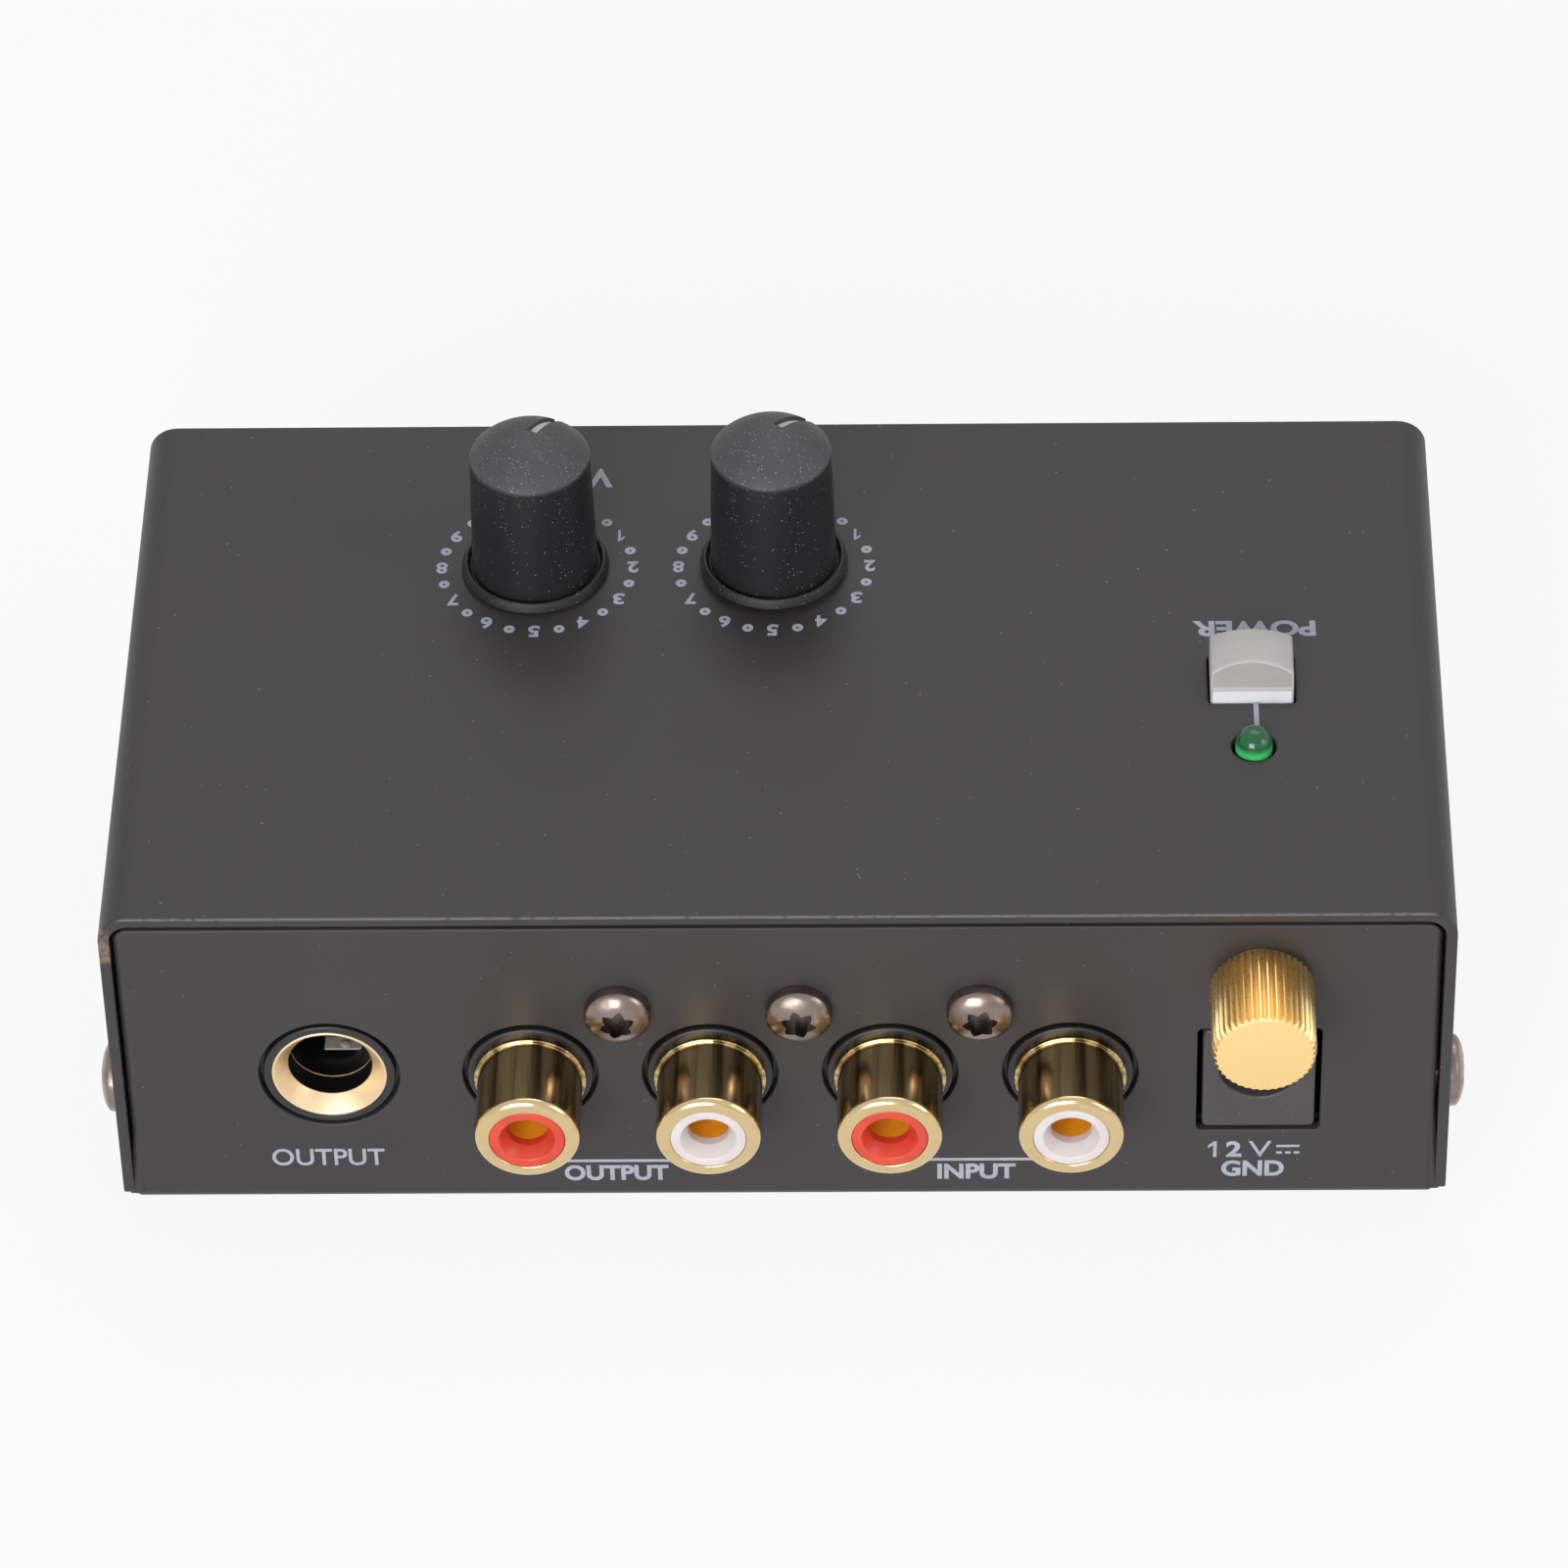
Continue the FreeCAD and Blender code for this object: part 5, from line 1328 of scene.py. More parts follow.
@dataclass
class OutputJack:
    """Round nose in the panel with a gold ferrule inside."""

    place: float = -36.05
    level: float = 16.36
    hole: float = 11.3
    nose: float = 10.58
    ferrule: float = 9.25
    bore: float = 6.7
    length: float = 8.0
    mouth: float = 1.3
    line: float = 3.2
    line_half: float = 0.07
    body_half: float = 7.6
    body_heights: Pair = (10.1, 22.7)
    body_depth: float = 26.0
    plate: float = 0.9
    barrel: float = 3.7
    barrel_end: float = 24.0

    def holes(self, low: float) -> list[Outline]:
        """The panel's hole, above the underside."""
        return [disc(self.place, self.level - low, self.hole, 96)]

    def make(self, front: float) -> None:
        """Makes the body with its nose, and the ferrule.

        Args:
            front: The panel's face.
        """
        body = Build("jack_moulding")
        centre = (self.place, self.level)
        seat, nose, root = self.ferrule / 2 + 0.01, self.nose / 2, -self.plate - 0.2
        low = (self.place - self.body_half, self.body_heights[0])
        high = (self.place + self.body_half, self.body_heights[1])
        outlines = [panel(low, high, 0.3), disc(*centre, self.ferrule + 0.02, 48)]
        body.plate(outlines, self.body_depth, 0.2, -self.plate)
        body.lathe(soften([(seat, root), (seat, 0, 0.1), (nose, 0, 0.2), (nose, root)]), centre)
        end = -self.barrel_end
        body.lathe([(self.barrel, -self.length), (self.barrel, end), (0, end)], centre, 48)
        where = outward(0, front, 0)
        body.hand_over("case", [Finish.BLACK], "black_plastic", ["jack_body"], where)
        bore = self.bore / 2
        line = soften(
            [
                (bore, -self.length),
                (bore, -self.line - self.line_half),
                (bore, -self.line + self.line_half),
                (bore, -self.mouth, 0.3),
                (self.ferrule / 2 - 0.2, 0, 0.1),
                (self.ferrule / 2, 0, 0.1),
                (self.ferrule / 2, -self.length),
                (bore, -self.length),
            ]
        )
        ferrule = Build("gold_ferrule").lathe(line, slots=self._ferrule_slot)
        where = outward(self.place, front, self.level)
        finishes = [Finish.CHAMPAGNE, Finish.BORE, Finish.SEAM]
        ferrule.hand_over("case", finishes, "gold", ["jack_ferrule"], where)
        self._make_leaf(where)

    def _ferrule_slot(self, radius: float, height: float) -> int:
        """Picks the finish of one band of the ferrule.

        Args:
            radius: Radius in the middle of the band.
            height: Height in the middle of the band.

        Returns:
            0 for the satin cone, 1 for the bore, black darkened further as painted shade, and 2 for
            its bright line.
        """
        if radius > self.bore / 2 + 0.02:
            return 0
        return 2 if abs(height + self.line) < self.line_half else 1

    @staticmethod
    def _make_leaf(where: Matrix) -> None:
        """Makes the contact leaf that shows in the bore, with its dimple.

        Args:
            where: The ferrule's place.
        """
        low, high = (-0.85, -2.75), (2.55, -2.55)
        dimple, rise = 0.45, 0.16
        leaf = Build("jack_leaf").prism(panel(low, high, 0.09)(0), -6.9, -5.6)
        tilts = (0.0, 0.5, 1.0, math.pi / 2)
        line = [(dimple * math.sin(tilt), rise * math.cos(tilt)) for tilt in tilts]
        bump = Build("jack_leaf_dimple").lathe(line, count=24)
        at = Matrix.Translation(((low[0] + high[0]) / 2, high[1], -6.1))
        bump.move(at @ Matrix.Rotation(-math.pi / 2, 4, "X"))
        leaf.take(bump).hand_over("case", [Finish.LEAF], "spring_steel", where=where)


@dataclass
class PowerInlet:
    """Square inlet with a round socket and a centre pin."""

    place: float = 38.2
    width: float = 9.0
    low: float = 10.1
    high: float = 20.8
    gap: float = 0.45
    bore: float = 6.4
    level: float = 16.6
    depth: float = 14.2
    bore_depth: float = 10.0
    pin: float = 2.1
    pin_set_back: float = 0.8

    def holes(self, low: float) -> list[Outline]:
        """Lays out the panel's cut-out.

        Args:
            low: Height of the underside.

        Returns:
            The outline, as (across, above the underside).
        """
        half = self.width / 2 + self.gap
        bottom = (self.place - half, self.low - self.gap - low)
        top = (self.place + half, self.high + self.gap / 2 - low)
        return [panel(bottom, top, 0.5)]

    def make(self, front: float) -> None:
        """Makes the body and its pin.

        Args:
            front: The panel's face.
        """
        half = self.width / 2
        body = Build("inlet_moulding")
        outline = panel((self.place - half, self.low), (self.place + half, self.high), 0.5)
        hole = disc(self.place, self.level, self.bore, 72)
        body.plate([outline, hole], self.bore_depth, 0.2)
        rest = self.depth - self.bore_depth
        pin_hole = disc(self.place, self.level, self.pin + 0.02, 36)
        body.plate([outline, pin_hole], rest, 0.02, -self.bore_depth)
        where = outward(0, front, 0)
        body.hand_over("case", [Finish.INLET], "black_plastic", ["inlet_body"], where)
        radius, end, tip = self.pin / 2, -self.depth, -self.pin_set_back
        line = soften([(0, end), (radius, end), (radius, tip, 0.35), (0, tip)])
        pin = Build("inlet_contact_pin").lathe(line, count=36)
        where = outward(self.place, front, self.level)
        pin.hand_over("case", [Finish.TIN], "tin", ["inlet_pin"], where)


@dataclass
class GroundPost:
    """Knurled thumb nut and washer on a stud."""

    place: float = 38.2
    level: float = 26.5
    diameter: float = 8.25
    length: float = 8.0
    teeth: int = 40
    tooth: float = 0.42
    washer: float = 7.0
    washer_thickness: float = 0.5
    bore: float = 3.95
    play: float = 0.025
    counterbore: float = 1.2
    tooth_wave: tuple[float, ...] = (0.0, 0.0, 0.55, 1.0, 1.0, 0.55)

    def make(self, front: float) -> None:
        """Makes the washer and the nut.

        Args:
            front: The panel's face.
        """
        bore = self.bore / 2 + self.play
        rim, face = self.washer / 2, self.washer_thickness
        line = soften([(bore, 0), (rim, 0, 0.08), (rim, face, 0.08), (bore, face), (bore, 0)], 3)
        washer = Build("washer").lathe(line, count=64)
        where = outward(self.place, front, self.level)
        washer.hand_over("washer", [Finish.NUT_SIDE], "pale_gold", ["ground_washer"], where)
        where = outward(self.place, front - self.washer_thickness, self.level)
        finishes = [Finish.NUT_SIDE, Finish.NUT_END]
        self._nut(bore).hand_over(
            "thumb_nut", finishes, "pale_gold", ["ground_thumb_nut"], where, 25
        )

    def _nut(self, bore: float) -> Build:
        """Makes the nut from rows of points whose radius follows the teeth.

        Args:
            bore: Radius of the threaded hole.

        Returns:
            The nut, with its end face in the second slot.
        """
        nut = Build("thumb_nut_body")
        tip = self.diameter / 2
        wave = self.tooth_wave * self.teeth
        count = len(wave)
        rows = []
        profile = [
            (bore, self.length - self.counterbore, 0.0),
            (bore, 0.0, 0.0),
            (tip - 0.45, 0.0, 0.0),
            (tip - 0.12, 0.2, 0.8),
            (tip, 0.4, 1.0),
            (tip, self.length - 0.75, 1.0),
            (tip - 0.06, self.length - 0.4, 0.8),
            (tip - 0.16, self.length - 0.15, 0.5),
            (tip - 0.3, self.length - 0.03, 0.15),
            (tip - 0.4, self.length, 0.0),
            (0.0, self.length, 0.0),
        ]
        for radius, height, share in profile:
            if radius == 0:
                rows.append(nut.ring([(0, 0, height)]))
                continue
            row = []
            for i in range(count):
                angle = math.tau * i / count
                reach = radius - self.tooth * share * (1 - wave[i])
                row.append((reach * math.cos(angle), reach * math.sin(angle), height))
            rows.append(nut.ring(row))
        for low, high in zip(rows, rows[1:-1]):
            nut.bridge(low, high, int(high is rows[-2]))
        tip_vert, wide = rows[-1][0], rows[-2]
        for i in range(count):
            face = nut.mesh.faces.new((tip_vert, wide[i], wide[(i + 1) % count]))
            face.material_index = 1
        nut.mesh.faces.new(rows[0])
        return nut


@dataclass
class Knob:
    """Skirted knob with a domed top and a painted pointer notch."""

    skirt: float = 12.2
    crest: float = 11.5
    skirt_height: float = 0.8
    groove: float = 0.3
    root: float = 10.35
    crown: float = 9.8
    side: float = 11.85
    dome: float = 2.25
    pointer: float = 0.9
    notch_depth: float = 0.45
    notch_fall: float = 0.9
    overshoot: float = 0.6
    steps: int = 12
    start: float = 0.0

    def make(self, name: str, x: float, y: float, z: float, angle: float) -> None:
        """Makes the knob and the paint in its notch.

        Args:
            name: left or right.
            x: Its place across the cover.
            y: Its place along the cover.
            z: Its lower edge.
            angle: Direction of the pointer in degrees.
        """
        crown = self.crown / 2
        sphere = (crown**2 + self.dome**2) / (2 * self.dome)
        centre = self.side + self.dome - sphere
        opening = math.asin(crown / sphere)
        dome = []
        for i in range(self.steps + 1):
            tilt = opening * (1 - i / self.steps)
            dome.append((sphere * math.sin(tilt), centre + sphere * math.cos(tilt)))
        shoulder = soften([(self.root / 2, self.groove), (crown, self.side, 0.35), dome[1]])
        line = soften(
            [
                (0, 0),
                (self.skirt / 2, 0, 0.1),
                (self.crest / 2, self.skirt_height, 0.12),
                (self.crest / 2 - 0.2, self.skirt_height, 0.08),
                (self.root / 2 + 0.15, self.groove, 0.05),
                (self.root / 2, self.groove),
            ],
            3,
        )
        profile = line[:-1] + shoulder[:-1] + dome[1:-1] + [(0, self.side + self.dome)]
        knob = Build(f"knob_{name}").lathe(profile, count=128)
        knob.cut(self._notch(sphere, centre))
        finishes, nodes = [Finish.KNOB, Finish.POINTER], [f"volume_knob_{name}"]
        where = stand(x, y, z, angle)
        knob.hand_over(f"{name}_control", finishes, "knob_plastic", nodes, where, 35)

    def _notch(self, sphere: float, centre: float) -> Build:
        """Makes what is cut out for the pointer, with a painted floor.

        Args:
            sphere: Radius of the dome's sphere.
            centre: Height of the sphere's centre.

        Returns:
            The tool, with its floor in the second slot.
        """
        tool = Build("notch")
        half = self.pointer / 2
        out = self.crown / 2 + self.overshoot
        reach = out - self.start
        places = [self.start + reach * i / self.steps for i in range(self.steps + 1)]
        floor = [(at, self._notch_floor(at, sphere, centre)) for at in places]
        roof = self.side + self.dome + 1
        outline = [*floor, (out, roof), (self.start, roof)]
        near = tool.ring((at, -half, height) for at, height in outline)
        far = tool.ring((at, half, height) for at, height in outline)
        for i in range(len(outline)):
            j = (i + 1) % len(outline)
            wall = tool.mesh.faces.new((near[i], near[j], far[j], far[i]))
            wall.material_index = int(i < self.steps)
        tool.mesh.faces.new(near)
        tool.mesh.faces.new(far)
        return tool

    def _notch_floor(self, at: float, sphere: float, centre: float) -> float:
        """Follows the dome, and then falls away past its rim.

        Args:
            at: Distance from the knob's axis.
            sphere: Radius of the dome's sphere.
            centre: Height of the sphere's centre.

        Returns:
            Height of the notch's floor.
        """
        crown = self.crown / 2
        if at > crown:
            return self.side - self.notch_depth - (at - crown) * self.notch_fall
        return centre + math.sqrt(sphere**2 - at**2) - self.notch_depth


@dataclass
class PushButton:
    """Arched button with an upright lip and a sloped front."""

    place: float = 38.0
    width: float = 6.7
    front: float = -5.05
    depth: float = 5.4
    side: float = 2.35
    crown: float = 0.8
    lip: float = 1.3
    slope: float = 1.25
    stem: float = 9.6
    gap: float = 0.17
    edge: float = 0.18

    def hole(self) -> Outline:
        """Lays out the cover's cut-out.

        Returns:
            The outline.
        """
        half = self.width / 2 + self.gap
        low = (self.place - half, self.front - self.gap)
        high = (self.place + half, self.front + self.depth + self.gap)
        return panel(low, high, 0.35)

    def make(self, top: float) -> None:
        """Makes the button.

        Args:
            top: The cover's upper face.
        """
        half = self.width / 2
        radius = (half**2 + self.crown**2) / (2 * self.crown)
        centre = self.side + self.crown - radius
        opening = math.degrees(math.asin(half / radius))
        roof = arc((0, centre), radius, 90 - opening, 90 + opening, 16)
        outline = [(-half, -self.stem), (half, -self.stem), *roof]
        button = Build("power_cap")
        button.prism(outline, 0, self.depth)
        upright = Matrix.Rotation(math.radians(90), 4, "X")
        button.move(Matrix.Translation((0, self.depth, 0)) @ upright)
        everything = button.mesh.verts[:] + button.mesh.edges[:] + button.mesh.faces[:]
        normal = Vector((0, -self.slope, 1))
        bmesh.ops.bisect_plane(
            button.mesh, geom=everything, dist=CLOSE, plane_co=(0, 0, self.lip), plane_no=normal,
            clear_outer=True,
        )
        rim = [edge for edge in button.mesh.edges if edge.is_boundary]
        bmesh.ops.contextual_create(button.mesh, geom=rim)
        bmesh.ops.recalc_face_normals(button.mesh, faces=button.mesh.faces[:])
        # The sloped front gets the painted shade copy and the upright lip the painted light copy of
        # the plastic.
        for face in button.mesh.faces:
            face.material_index = int(face.normal.y < -0.5) + int(face.normal.y < -0.9)
        button.bevelled(self.edge, 3, 25)
        where = stand(self.place, self.front, top)
        finishes = [Finish.BUTTON, Finish.BUTTON_SLOPE, Finish.BUTTON_LIP]
        button.hand_over("button", finishes, "button_plastic", ["power_button"], where, 30)


@dataclass
class Indicator:
    """Domed green indicator in its hole."""

    place: float = 38.0
    y: float = -10.3
    diameter: float = 3.0
    rise: float = 1.77
    length: float = 5.3
    gap: float = 0.3
    collar: Pair = (1.9, 1.0)

    def hole(self) -> Outline:
        """The cover's hole."""
        return disc(self.place, self.y, self.diameter + 2 * self.gap, 64)

    def make(self, top: float) -> None:
        """Makes the lens.

        Args:
            top: The cover's upper face.
        """
        radius = self.diameter / 2
        shoulder = self.length - radius
        dome = arc((0, shoulder), radius, 0, 90, 14)
        wide, seat = self.collar
        line = [(0, 0), (wide, 0), (wide, seat), (radius, seat), *dome[:-1], (0, self.length)]
        lens = Build("indicator_lens").lathe(line, count=64)
        where = stand(self.place, self.y, top + self.rise - self.length)
        lens.hand_over("case", [Finish.LENS], "green_lens", ["led_lens"], where)


class Facing(Enum):
    """Which way a line of print reads."""

    PANEL = "upright on the jack panel"
    REAR = "flat on the cover, read from the rear"


@dataclass
class Print:
    """Screen printed words, numerals, dots and lines."""

    front: float
    top: float
    low: float
    thickness: float = 0.015
    pinhole: float = 0.26

    def word(
        self, name: str, text: str, low: Pair, high: Pair, facing: Facing, bold: float = 0.035
    ) -> None:
        """Prints a word inside a rectangle.

        Args:
            name: Name of the piece.
            text: The letters.
            low: Lower left corner, as the panel or cover is seen from the jack panel.
            high: Upper right corner.
            facing: Which way it reads.
            bold: How far the strokes are widened.
        """
        curve = bpy.data.curves.new(name, "FONT")
        curve.body = text
        curve.resolution_u = 6
        curve.offset = bold
        holder = bpy.data.objects.new(name, curve)
        flat = bpy.data.meshes.new_from_object(holder)
        bpy.data.objects.remove(holder)
        sizes, middles = [], []
        for axis in (0, 1):
            along = [vert.co[axis] for vert in flat.vertices]
            sizes.append((high[axis] - low[axis]) / (max(along) - min(along)))
            middles.append(-(max(along) + min(along)) / 2)
        build = Build(name)
        build.mesh.from_mesh(flat)
        bpy.data.meshes.remove(flat)
        build.move(Matrix.Translation((*middles, 0)))
        build.move(Matrix.Diagonal((*sizes, 1, 1)))
        self._lay(build, (low[0] + high[0]) / 2, (low[1] + high[1]) / 2, facing)

    def shape(self, name: str, outlines: Sequence[list[Pair]], facing: Facing) -> None:
        """Prints filled outlines that are given where they lie.

        Args:
            name: Name of the piece.
            outlines: Closed outlines.
            facing: The surface that they are on.
        """
        build = Build(name)
        for outline in outlines:
            build.mesh.faces.new(build.ring((x, y, 0) for x, y in outline))
        self._lay(build, 0, 0, facing, turn=0)

    def dots(self, name: str, places: Iterable[Pair], diameter: float) -> None:
        """Prints dots with a pinhole in the middle on the cover.

        Args:
            name: Name of the piece.
            places: The dots' centres.
            diameter: Diameter of a dot.
        """
        build = Build(name)
        for x, y in places:
            rows = [disc(x, y, across, 24)(0) for across in (diameter, diameter * self.pinhole)]
            build.bridge(*[build.ring((*point, 0) for point in row) for row in rows])
        self._lay(build, 0, 0, Facing.REAR, turn=0)

    def _lay(self, build: Build, x: float, y: float, facing: Facing, turn: float = 180) -> None:
        """Thickens a flat print and lays it on its surface.

        Args:
            build: The flat print.
            x: Its place across.
            y: Its place along.
            facing: The surface.
            turn: Angle in degrees at which it lies on the cover.
        """
        faces = build.mesh.faces[:]
        bmesh.ops.recalc_face_normals(build.mesh, faces=faces)
        made = bmesh.ops.extrude_face_region(build.mesh, geom=faces)
        for item in made["geom"]:
            if isinstance(item, bmesh.types.BMVert):
                item.co.z += self.thickness
        if facing is Facing.PANEL:
            where = outward(x, self.front, y + self.low)
        else:
            where = stand(x, self.front + y, self.top, turn)
        build.hand_over("case", [Finish.INK], "charcoal_paint", where=where, sharp=30)

    @staticmethod
    def bar(low: Pair, high: Pair) -> list[Pair]:
        """A plain rectangle."""
        return [low, (high[0], low[1]), high, (low[0], high[1])]

    @staticmethod
    def one(low: Pair, high: Pair, turned: bool = False) -> list[Pair]:
        """The numeral 1 with its flag.

        Args:
            low: Lower left corner.
            high: Upper right corner.
            turned: Whether it stands on its head.

        Returns:
            The outline.
        """
        width, height = high[0] - low[0], high[1] - low[1]
        shape = [(0.6, 0), (1, 0), (1, 1), (0.72, 1), (0, 0.74), (0, 0.56), (0.6, 0.76)]
        if turned:
            shape = [(1 - x, 1 - y) for x, y in shape]
        return [(low[0] + width * x, low[1] + height * y) for x, y in shape]


@dataclass
class Dial:
    """Ring of dots and numerals round a knob."""

    x: float
    y: float = 41.6
    radius: float = 7.85
    dot: float = 0.9
    numeral: Pair = (0.93, 1.37)
    narrow: float = 0.6
    dot_angles: tuple[int, ...] = (45, 15, -15, -45, -75, -105, -135, -165, 165, 135)
    numeral_angles: tuple[int, ...] = (30, 0, -30, -60, -90, -120, -150, 180, 150)

    def make(self, ink: Print, name: str) -> None:
        """Prints the ring.

        Args:
            ink: The print.
            name: left or right.
        """
        ink.dots(f"dial_dots_{name}", [self._at(angle) for angle in self.dot_angles], self.dot)
        for number, angle in enumerate(self.numeral_angles, start=1):
            x, y = self._at(angle)
            half_width = self.numeral[0] / 2 * (self.narrow if number == 1 else 1)
            half_height = self.numeral[1] / 2
            low, high = (x - half_width, y - half_height), (x + half_width, y + half_height)
            if number == 1:
                ink.shape(f"dial_{name}_1", [ink.one(low, high, True)], Facing.REAR)
            else:
                ink.word(f"dial_{name}_{number}", str(number), low, high, Facing.REAR)

    def _at(self, angle: float) -> Pair:
        """The place on the ring at an angle."""
        turn = math.radians(angle)
        return self.x + self.radius * math.cos(turn), self.y + self.radius * math.sin(turn)


@dataclass
class Interior:
    """Nodes that keep their own shape and get a finish."""

    finishes: dict[str, Finish] = field(
        default_factory=lambda: {
            "black_plastic": Finish.BLACK,
            "knob_plastic": Finish.KNOB,
            "gold": Finish.GOLD,
            "pale_gold": Finish.NUT_SIDE,
            "nickel": Finish.NICKEL,
            "spring_steel": Finish.TIN,
            "tin": Finish.TIN,
            "board": Finish.BOARD,
            "capacitor_sleeve": Finish.SLEEVE,
            "film_case": Finish.FILM,
            "foot_rubber": Finish.RUBBER,
            "charcoal_paint": Finish.PAINT,
            "button_plastic": Finish.BUTTON,
            "red_plastic": Finish.RED,
            "white_plastic": Finish.WHITE,
            "green_lens": Finish.LENS,
        }
    )
    brass_nodes: tuple[str, ...] = ("socket_contacts",)

    def dress(self) -> None:
        """Gives each node the finish of its material slot."""
        for entry in frame["record"]["subparts"]:
            piece = frame["nodes"].get(entry["node"])
            if piece is None:
                continue
            finish = self.finishes[entry["material_slot"]]
            if entry["node"] in self.brass_nodes:
                finish = Finish.BRASS
            if not piece.data.materials:
                piece.data.materials.append(None)
            for slot in piece.material_slots:
                slot.material = finish.material()
            logger.info("dressed %s", entry["node"])


# The picture


@dataclass
class Studio:
    """Camera, lamps, world and floor."""

    place: Triple = (15.873, -491.864, 477.119)
    tilt: Triple = (47.1101, 1.1395, 0.7939)
    lens: float = 187.611
    sensor: float = 36.0
    sky: float = 0.35
    floor_tone: float = 0.82
    floor_glow: float = 0.89
    floor_reach: float = 3.0
    aim: Triple = (0.0, 0.0, 0.02)
    lamps: tuple[tuple[str, Triple, Pair, float], ...] = (
        ("front_lamp", (-0.25, -0.9, 0.45), (0.6, 0.5), 8.4),
        ("side_lamp", (0.9, -0.3, 0.5), (0.5, 0.5), 2.0),
        ("top_lamp", (0.1, 0.5, 1.0), (0.9, 0.6), 2.8),
    )

    def make_camera(self) -> None:
        """Sets the camera at the photograph's view."""
        data = bpy.data.cameras.new("view_camera")
        data.lens = self.lens
        data.sensor_width = self.sensor
        data.sensor_height = self.sensor
        data.sensor_fit = "AUTO"
        data.clip_start = 0.01
        data.clip_end = 50
        camera = bpy.data.objects.new("view_camera", data)
        camera.location = Vector(self.place) * MM
        camera.rotation_euler = Euler([math.radians(angle) for angle in self.tilt], "XYZ")
        bpy.context.scene.collection.objects.link(camera)
        bpy.context.scene.camera = camera

    def make_lamp(self, name: str, place: Triple, size: Pair, power: float) -> None:
        """Adds a rectangular soft lamp.

        Args:
            name: Name of the lamp.
            place: Its place in metres.
            size: Its width and height in metres.
            power: Its power in watts.
        """
        data = bpy.data.lights.new(name, "AREA")
        data.shape = "RECTANGLE"
        data.size, data.size_y = size
        data.energy = power
        lamp = bpy.data.objects.new(name, data)
        lamp.location = place
        facing = Vector(place) - Vector(self.aim)
        lamp.rotation_euler = facing.to_track_quat("Z", "Y").to_euler()
        bpy.context.scene.collection.objects.link(lamp)

    def make_world(self) -> None:
        """White behind the object and in its reflections, plain grey light elsewhere."""
        world = bpy.data.worlds.new("studio_world")
        shader = Shader(world)
        level = shader.to_background() * (1 - self.sky) + self.sky
        light = shader.node("ShaderNodeBackground", inputs={"Strength": level})
        shader.node("ShaderNodeOutputWorld", inputs={0: light})
        bpy.context.scene.world = world

    def make_floor(self) -> None:
        """A wide pale floor that stays white and keeps the object's shadow."""
        shader = Shader.named("studio_floor")
        pale = (self.floor_tone,) * 3
        matte = shader.node("ShaderNodeBsdfDiffuse", inputs={"Color": pale})
        white = {"Color": (1.0, 1.0, 1.0), "Strength": 1.0}
        glow = shader.node("ShaderNodeEmission", inputs=white)
        share = shader.to_background() * self.floor_glow
        mixed = shader.node("ShaderNodeMixShader", inputs={0: share, 1: matte, 2: glow})
        shader.node("ShaderNodeOutputMaterial", inputs={0: mixed})
        data = bpy.data.meshes.new("studio_floor")
        reach = self.floor_reach
        corners = [(-reach, -reach, 0), (reach, -reach, 0), (reach, reach, 0), (-reach, reach, 0)]
        data.from_pydata(corners, [], [(0, 1, 2, 3)])
        data.materials.append(shader.owner)
        floor = bpy.data.objects.new("studio_floor", data)
        bpy.context.scene.collection.objects.link(floor)

    def make(self) -> None:
        """Builds the whole studio."""
        bpy.context.scene.view_settings.view_transform = "Standard"
        self.make_camera()
        self.make_world()
        self.make_floor()
        for lamp in self.lamps:
            self.make_lamp(*lamp)


@dataclass(frozen=True)
class Control:
    """Where a volume control stands and how its knob is set."""

    side: str
    x: float
    dial_x: float
    rise: float
    angle: float
    notch_start: float
    shaft_hole: float = 7.8


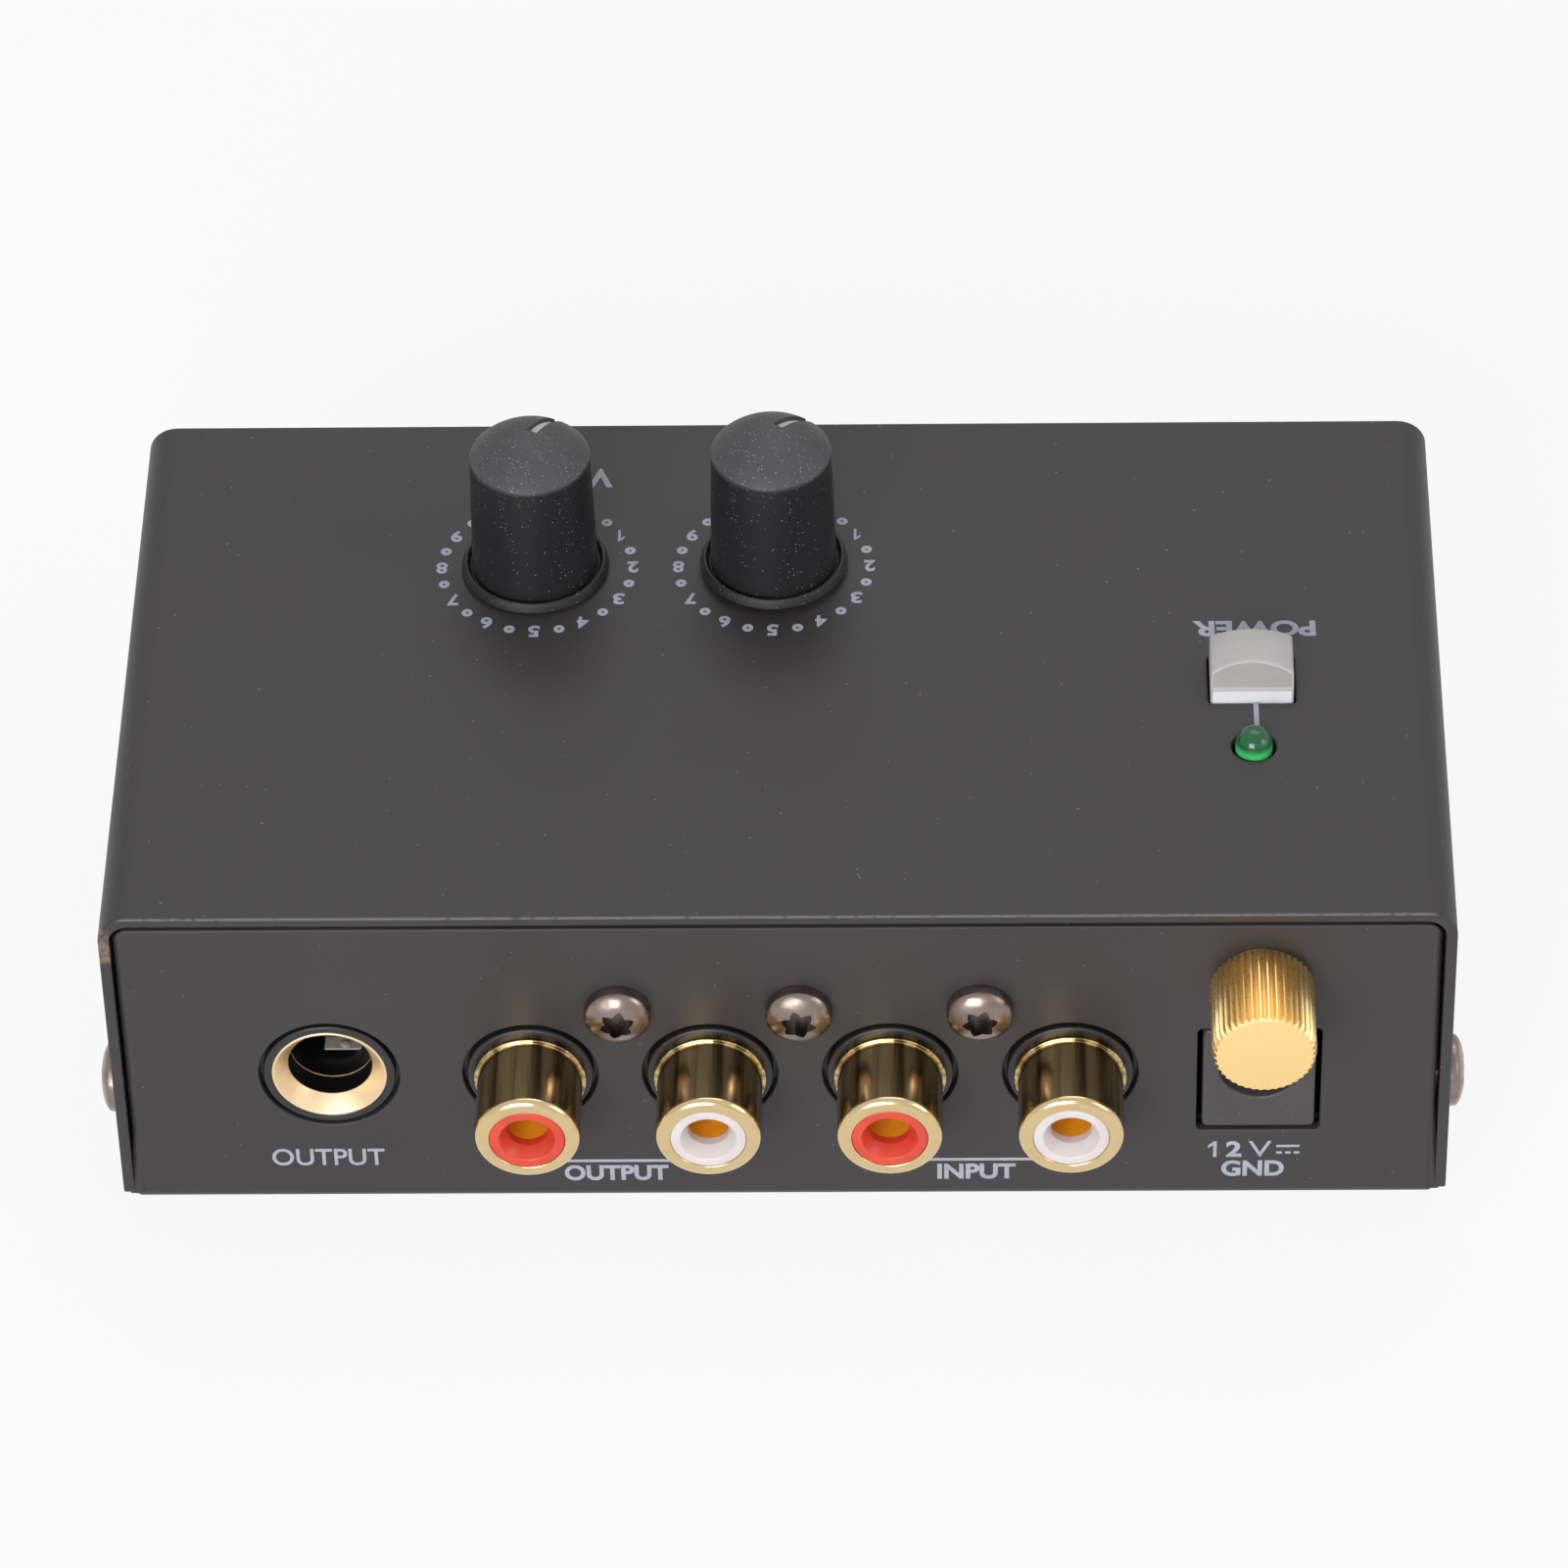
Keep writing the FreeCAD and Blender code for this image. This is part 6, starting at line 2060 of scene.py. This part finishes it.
@dataclass
class Lettering:
    """Every word, sign and line on the case, as (lower left, upper right)."""

    words: tuple[tuple[str, str, Pair, Pair, Facing, float], ...] = (
        ("word_power", "POWER", (33.4, 32.65), (43.4, 34.55), Facing.REAR, 0.035),
        ("word_volume", "VOLUME", (-25.9, 51.6), (-14.3, 54.0), Facing.REAR, 0.035),
        ("word_output_jack", "OUTPUT", (-41.2, 4.05), (-32.1, 5.95), Facing.PANEL, 0.012),
        ("word_output_phono", "OUTPUT", (-17.65, 2.2), (-9.25, 3.95), Facing.PANEL, 0.035),
        ("word_input", "INPUT", (12.46, 2.2), (18.78, 3.95), Facing.PANEL, 0.035),
        ("word_ground", "GND", (35.35, 2.4), (40.4, 4.2), Facing.PANEL, 0.035),
        ("word_volts_2", "2", (35.7, 4.6), (36.95, 6.4), Facing.PANEL, 0.035),
        ("word_volts_v", "V", (37.5, 4.6), (39.35, 6.4), Facing.PANEL, 0.0),
    )
    one: tuple[Pair, Pair] = ((34.25, 4.6), (34.95, 6.4))
    direct_bar: tuple[Pair, Pair] = ((39.75, 5.7), (41.6, 5.95))
    dash_starts: tuple[float, ...] = (39.75, 40.45, 41.15)
    dash_width: float = 0.45
    dash_heights: Pair = (4.95, 5.2)
    lamp_line: tuple[Pair, Pair] = ((38.1, 21.3), (38.5, 24.6))
    panel_lines: tuple[tuple[Pair, Pair], ...] = (
        ((-19.96, 4.3), (-5.59, 4.6)),
        ((8.78, 4.3), (23.15, 4.6)),
    )

    def make(self, ink: Print) -> None:
        """Prints everything but the dials.

        Args:
            ink: The print.
        """
        for word in self.words:
            ink.word(*word)
        low, high = self.dash_heights
        dashes = [ink.bar((x, low), (x + self.dash_width, high)) for x in self.dash_starts]
        signs = [ink.one(*self.one), ink.bar(*self.direct_bar), *dashes]
        ink.shape("volts_signs", signs, Facing.PANEL)
        ink.shape("lamp_line", [ink.bar(*self.lamp_line)], Facing.REAR)
        ink.shape("panel_lines", [ink.bar(*line) for line in self.panel_lines], Facing.PANEL)


CONTROLS = (
    Control("left", x=-20.35, dial_x=-20.2, rise=0.25, angle=62, notch_start=0.5),
    Control("right", x=-0.75, dial_x=-0.75, rise=0.55, angle=50, notch_start=0.9),
)


def main() -> None:
    """Builds the studio and every sub-assembly, in order."""
    logging.basicConfig(level=logging.INFO, format="%(message)s")
    Studio().make()
    Interior().dress()
    case, sockets, jack, inlet = Case(), SocketRow(), OutputJack(), PowerInlet()
    button, lamp = PushButton(), Indicator()
    knob_y = case.front + Dial.y
    shaft_holes = [disc(control.x, knob_y, control.shaft_hole, 64) for control in CONTROLS]
    case.make_cover([*shaft_holes, button.hole(), lamp.hole()])
    case.make_base(sockets.holes(case.low) + jack.holes(case.low) + inlet.holes(case.low))
    case.make_screws()
    case.make_feet()
    for assembly in (sockets, jack, inlet, GroundPost()):
        assembly.make(case.front)
    for control in CONTROLS:
        knob = Knob(start=control.notch_start)
        knob.make(control.side, control.x, knob_y, case.top + control.rise, control.angle)
    button.make(case.top)
    lamp.make(case.top)
    ink = Print(case.front, case.top, case.low)
    for control in CONTROLS:
        Dial(control.dial_x).make(ink, control.side)
    Lettering().make(ink)


if __name__ == "__main__":
    main()
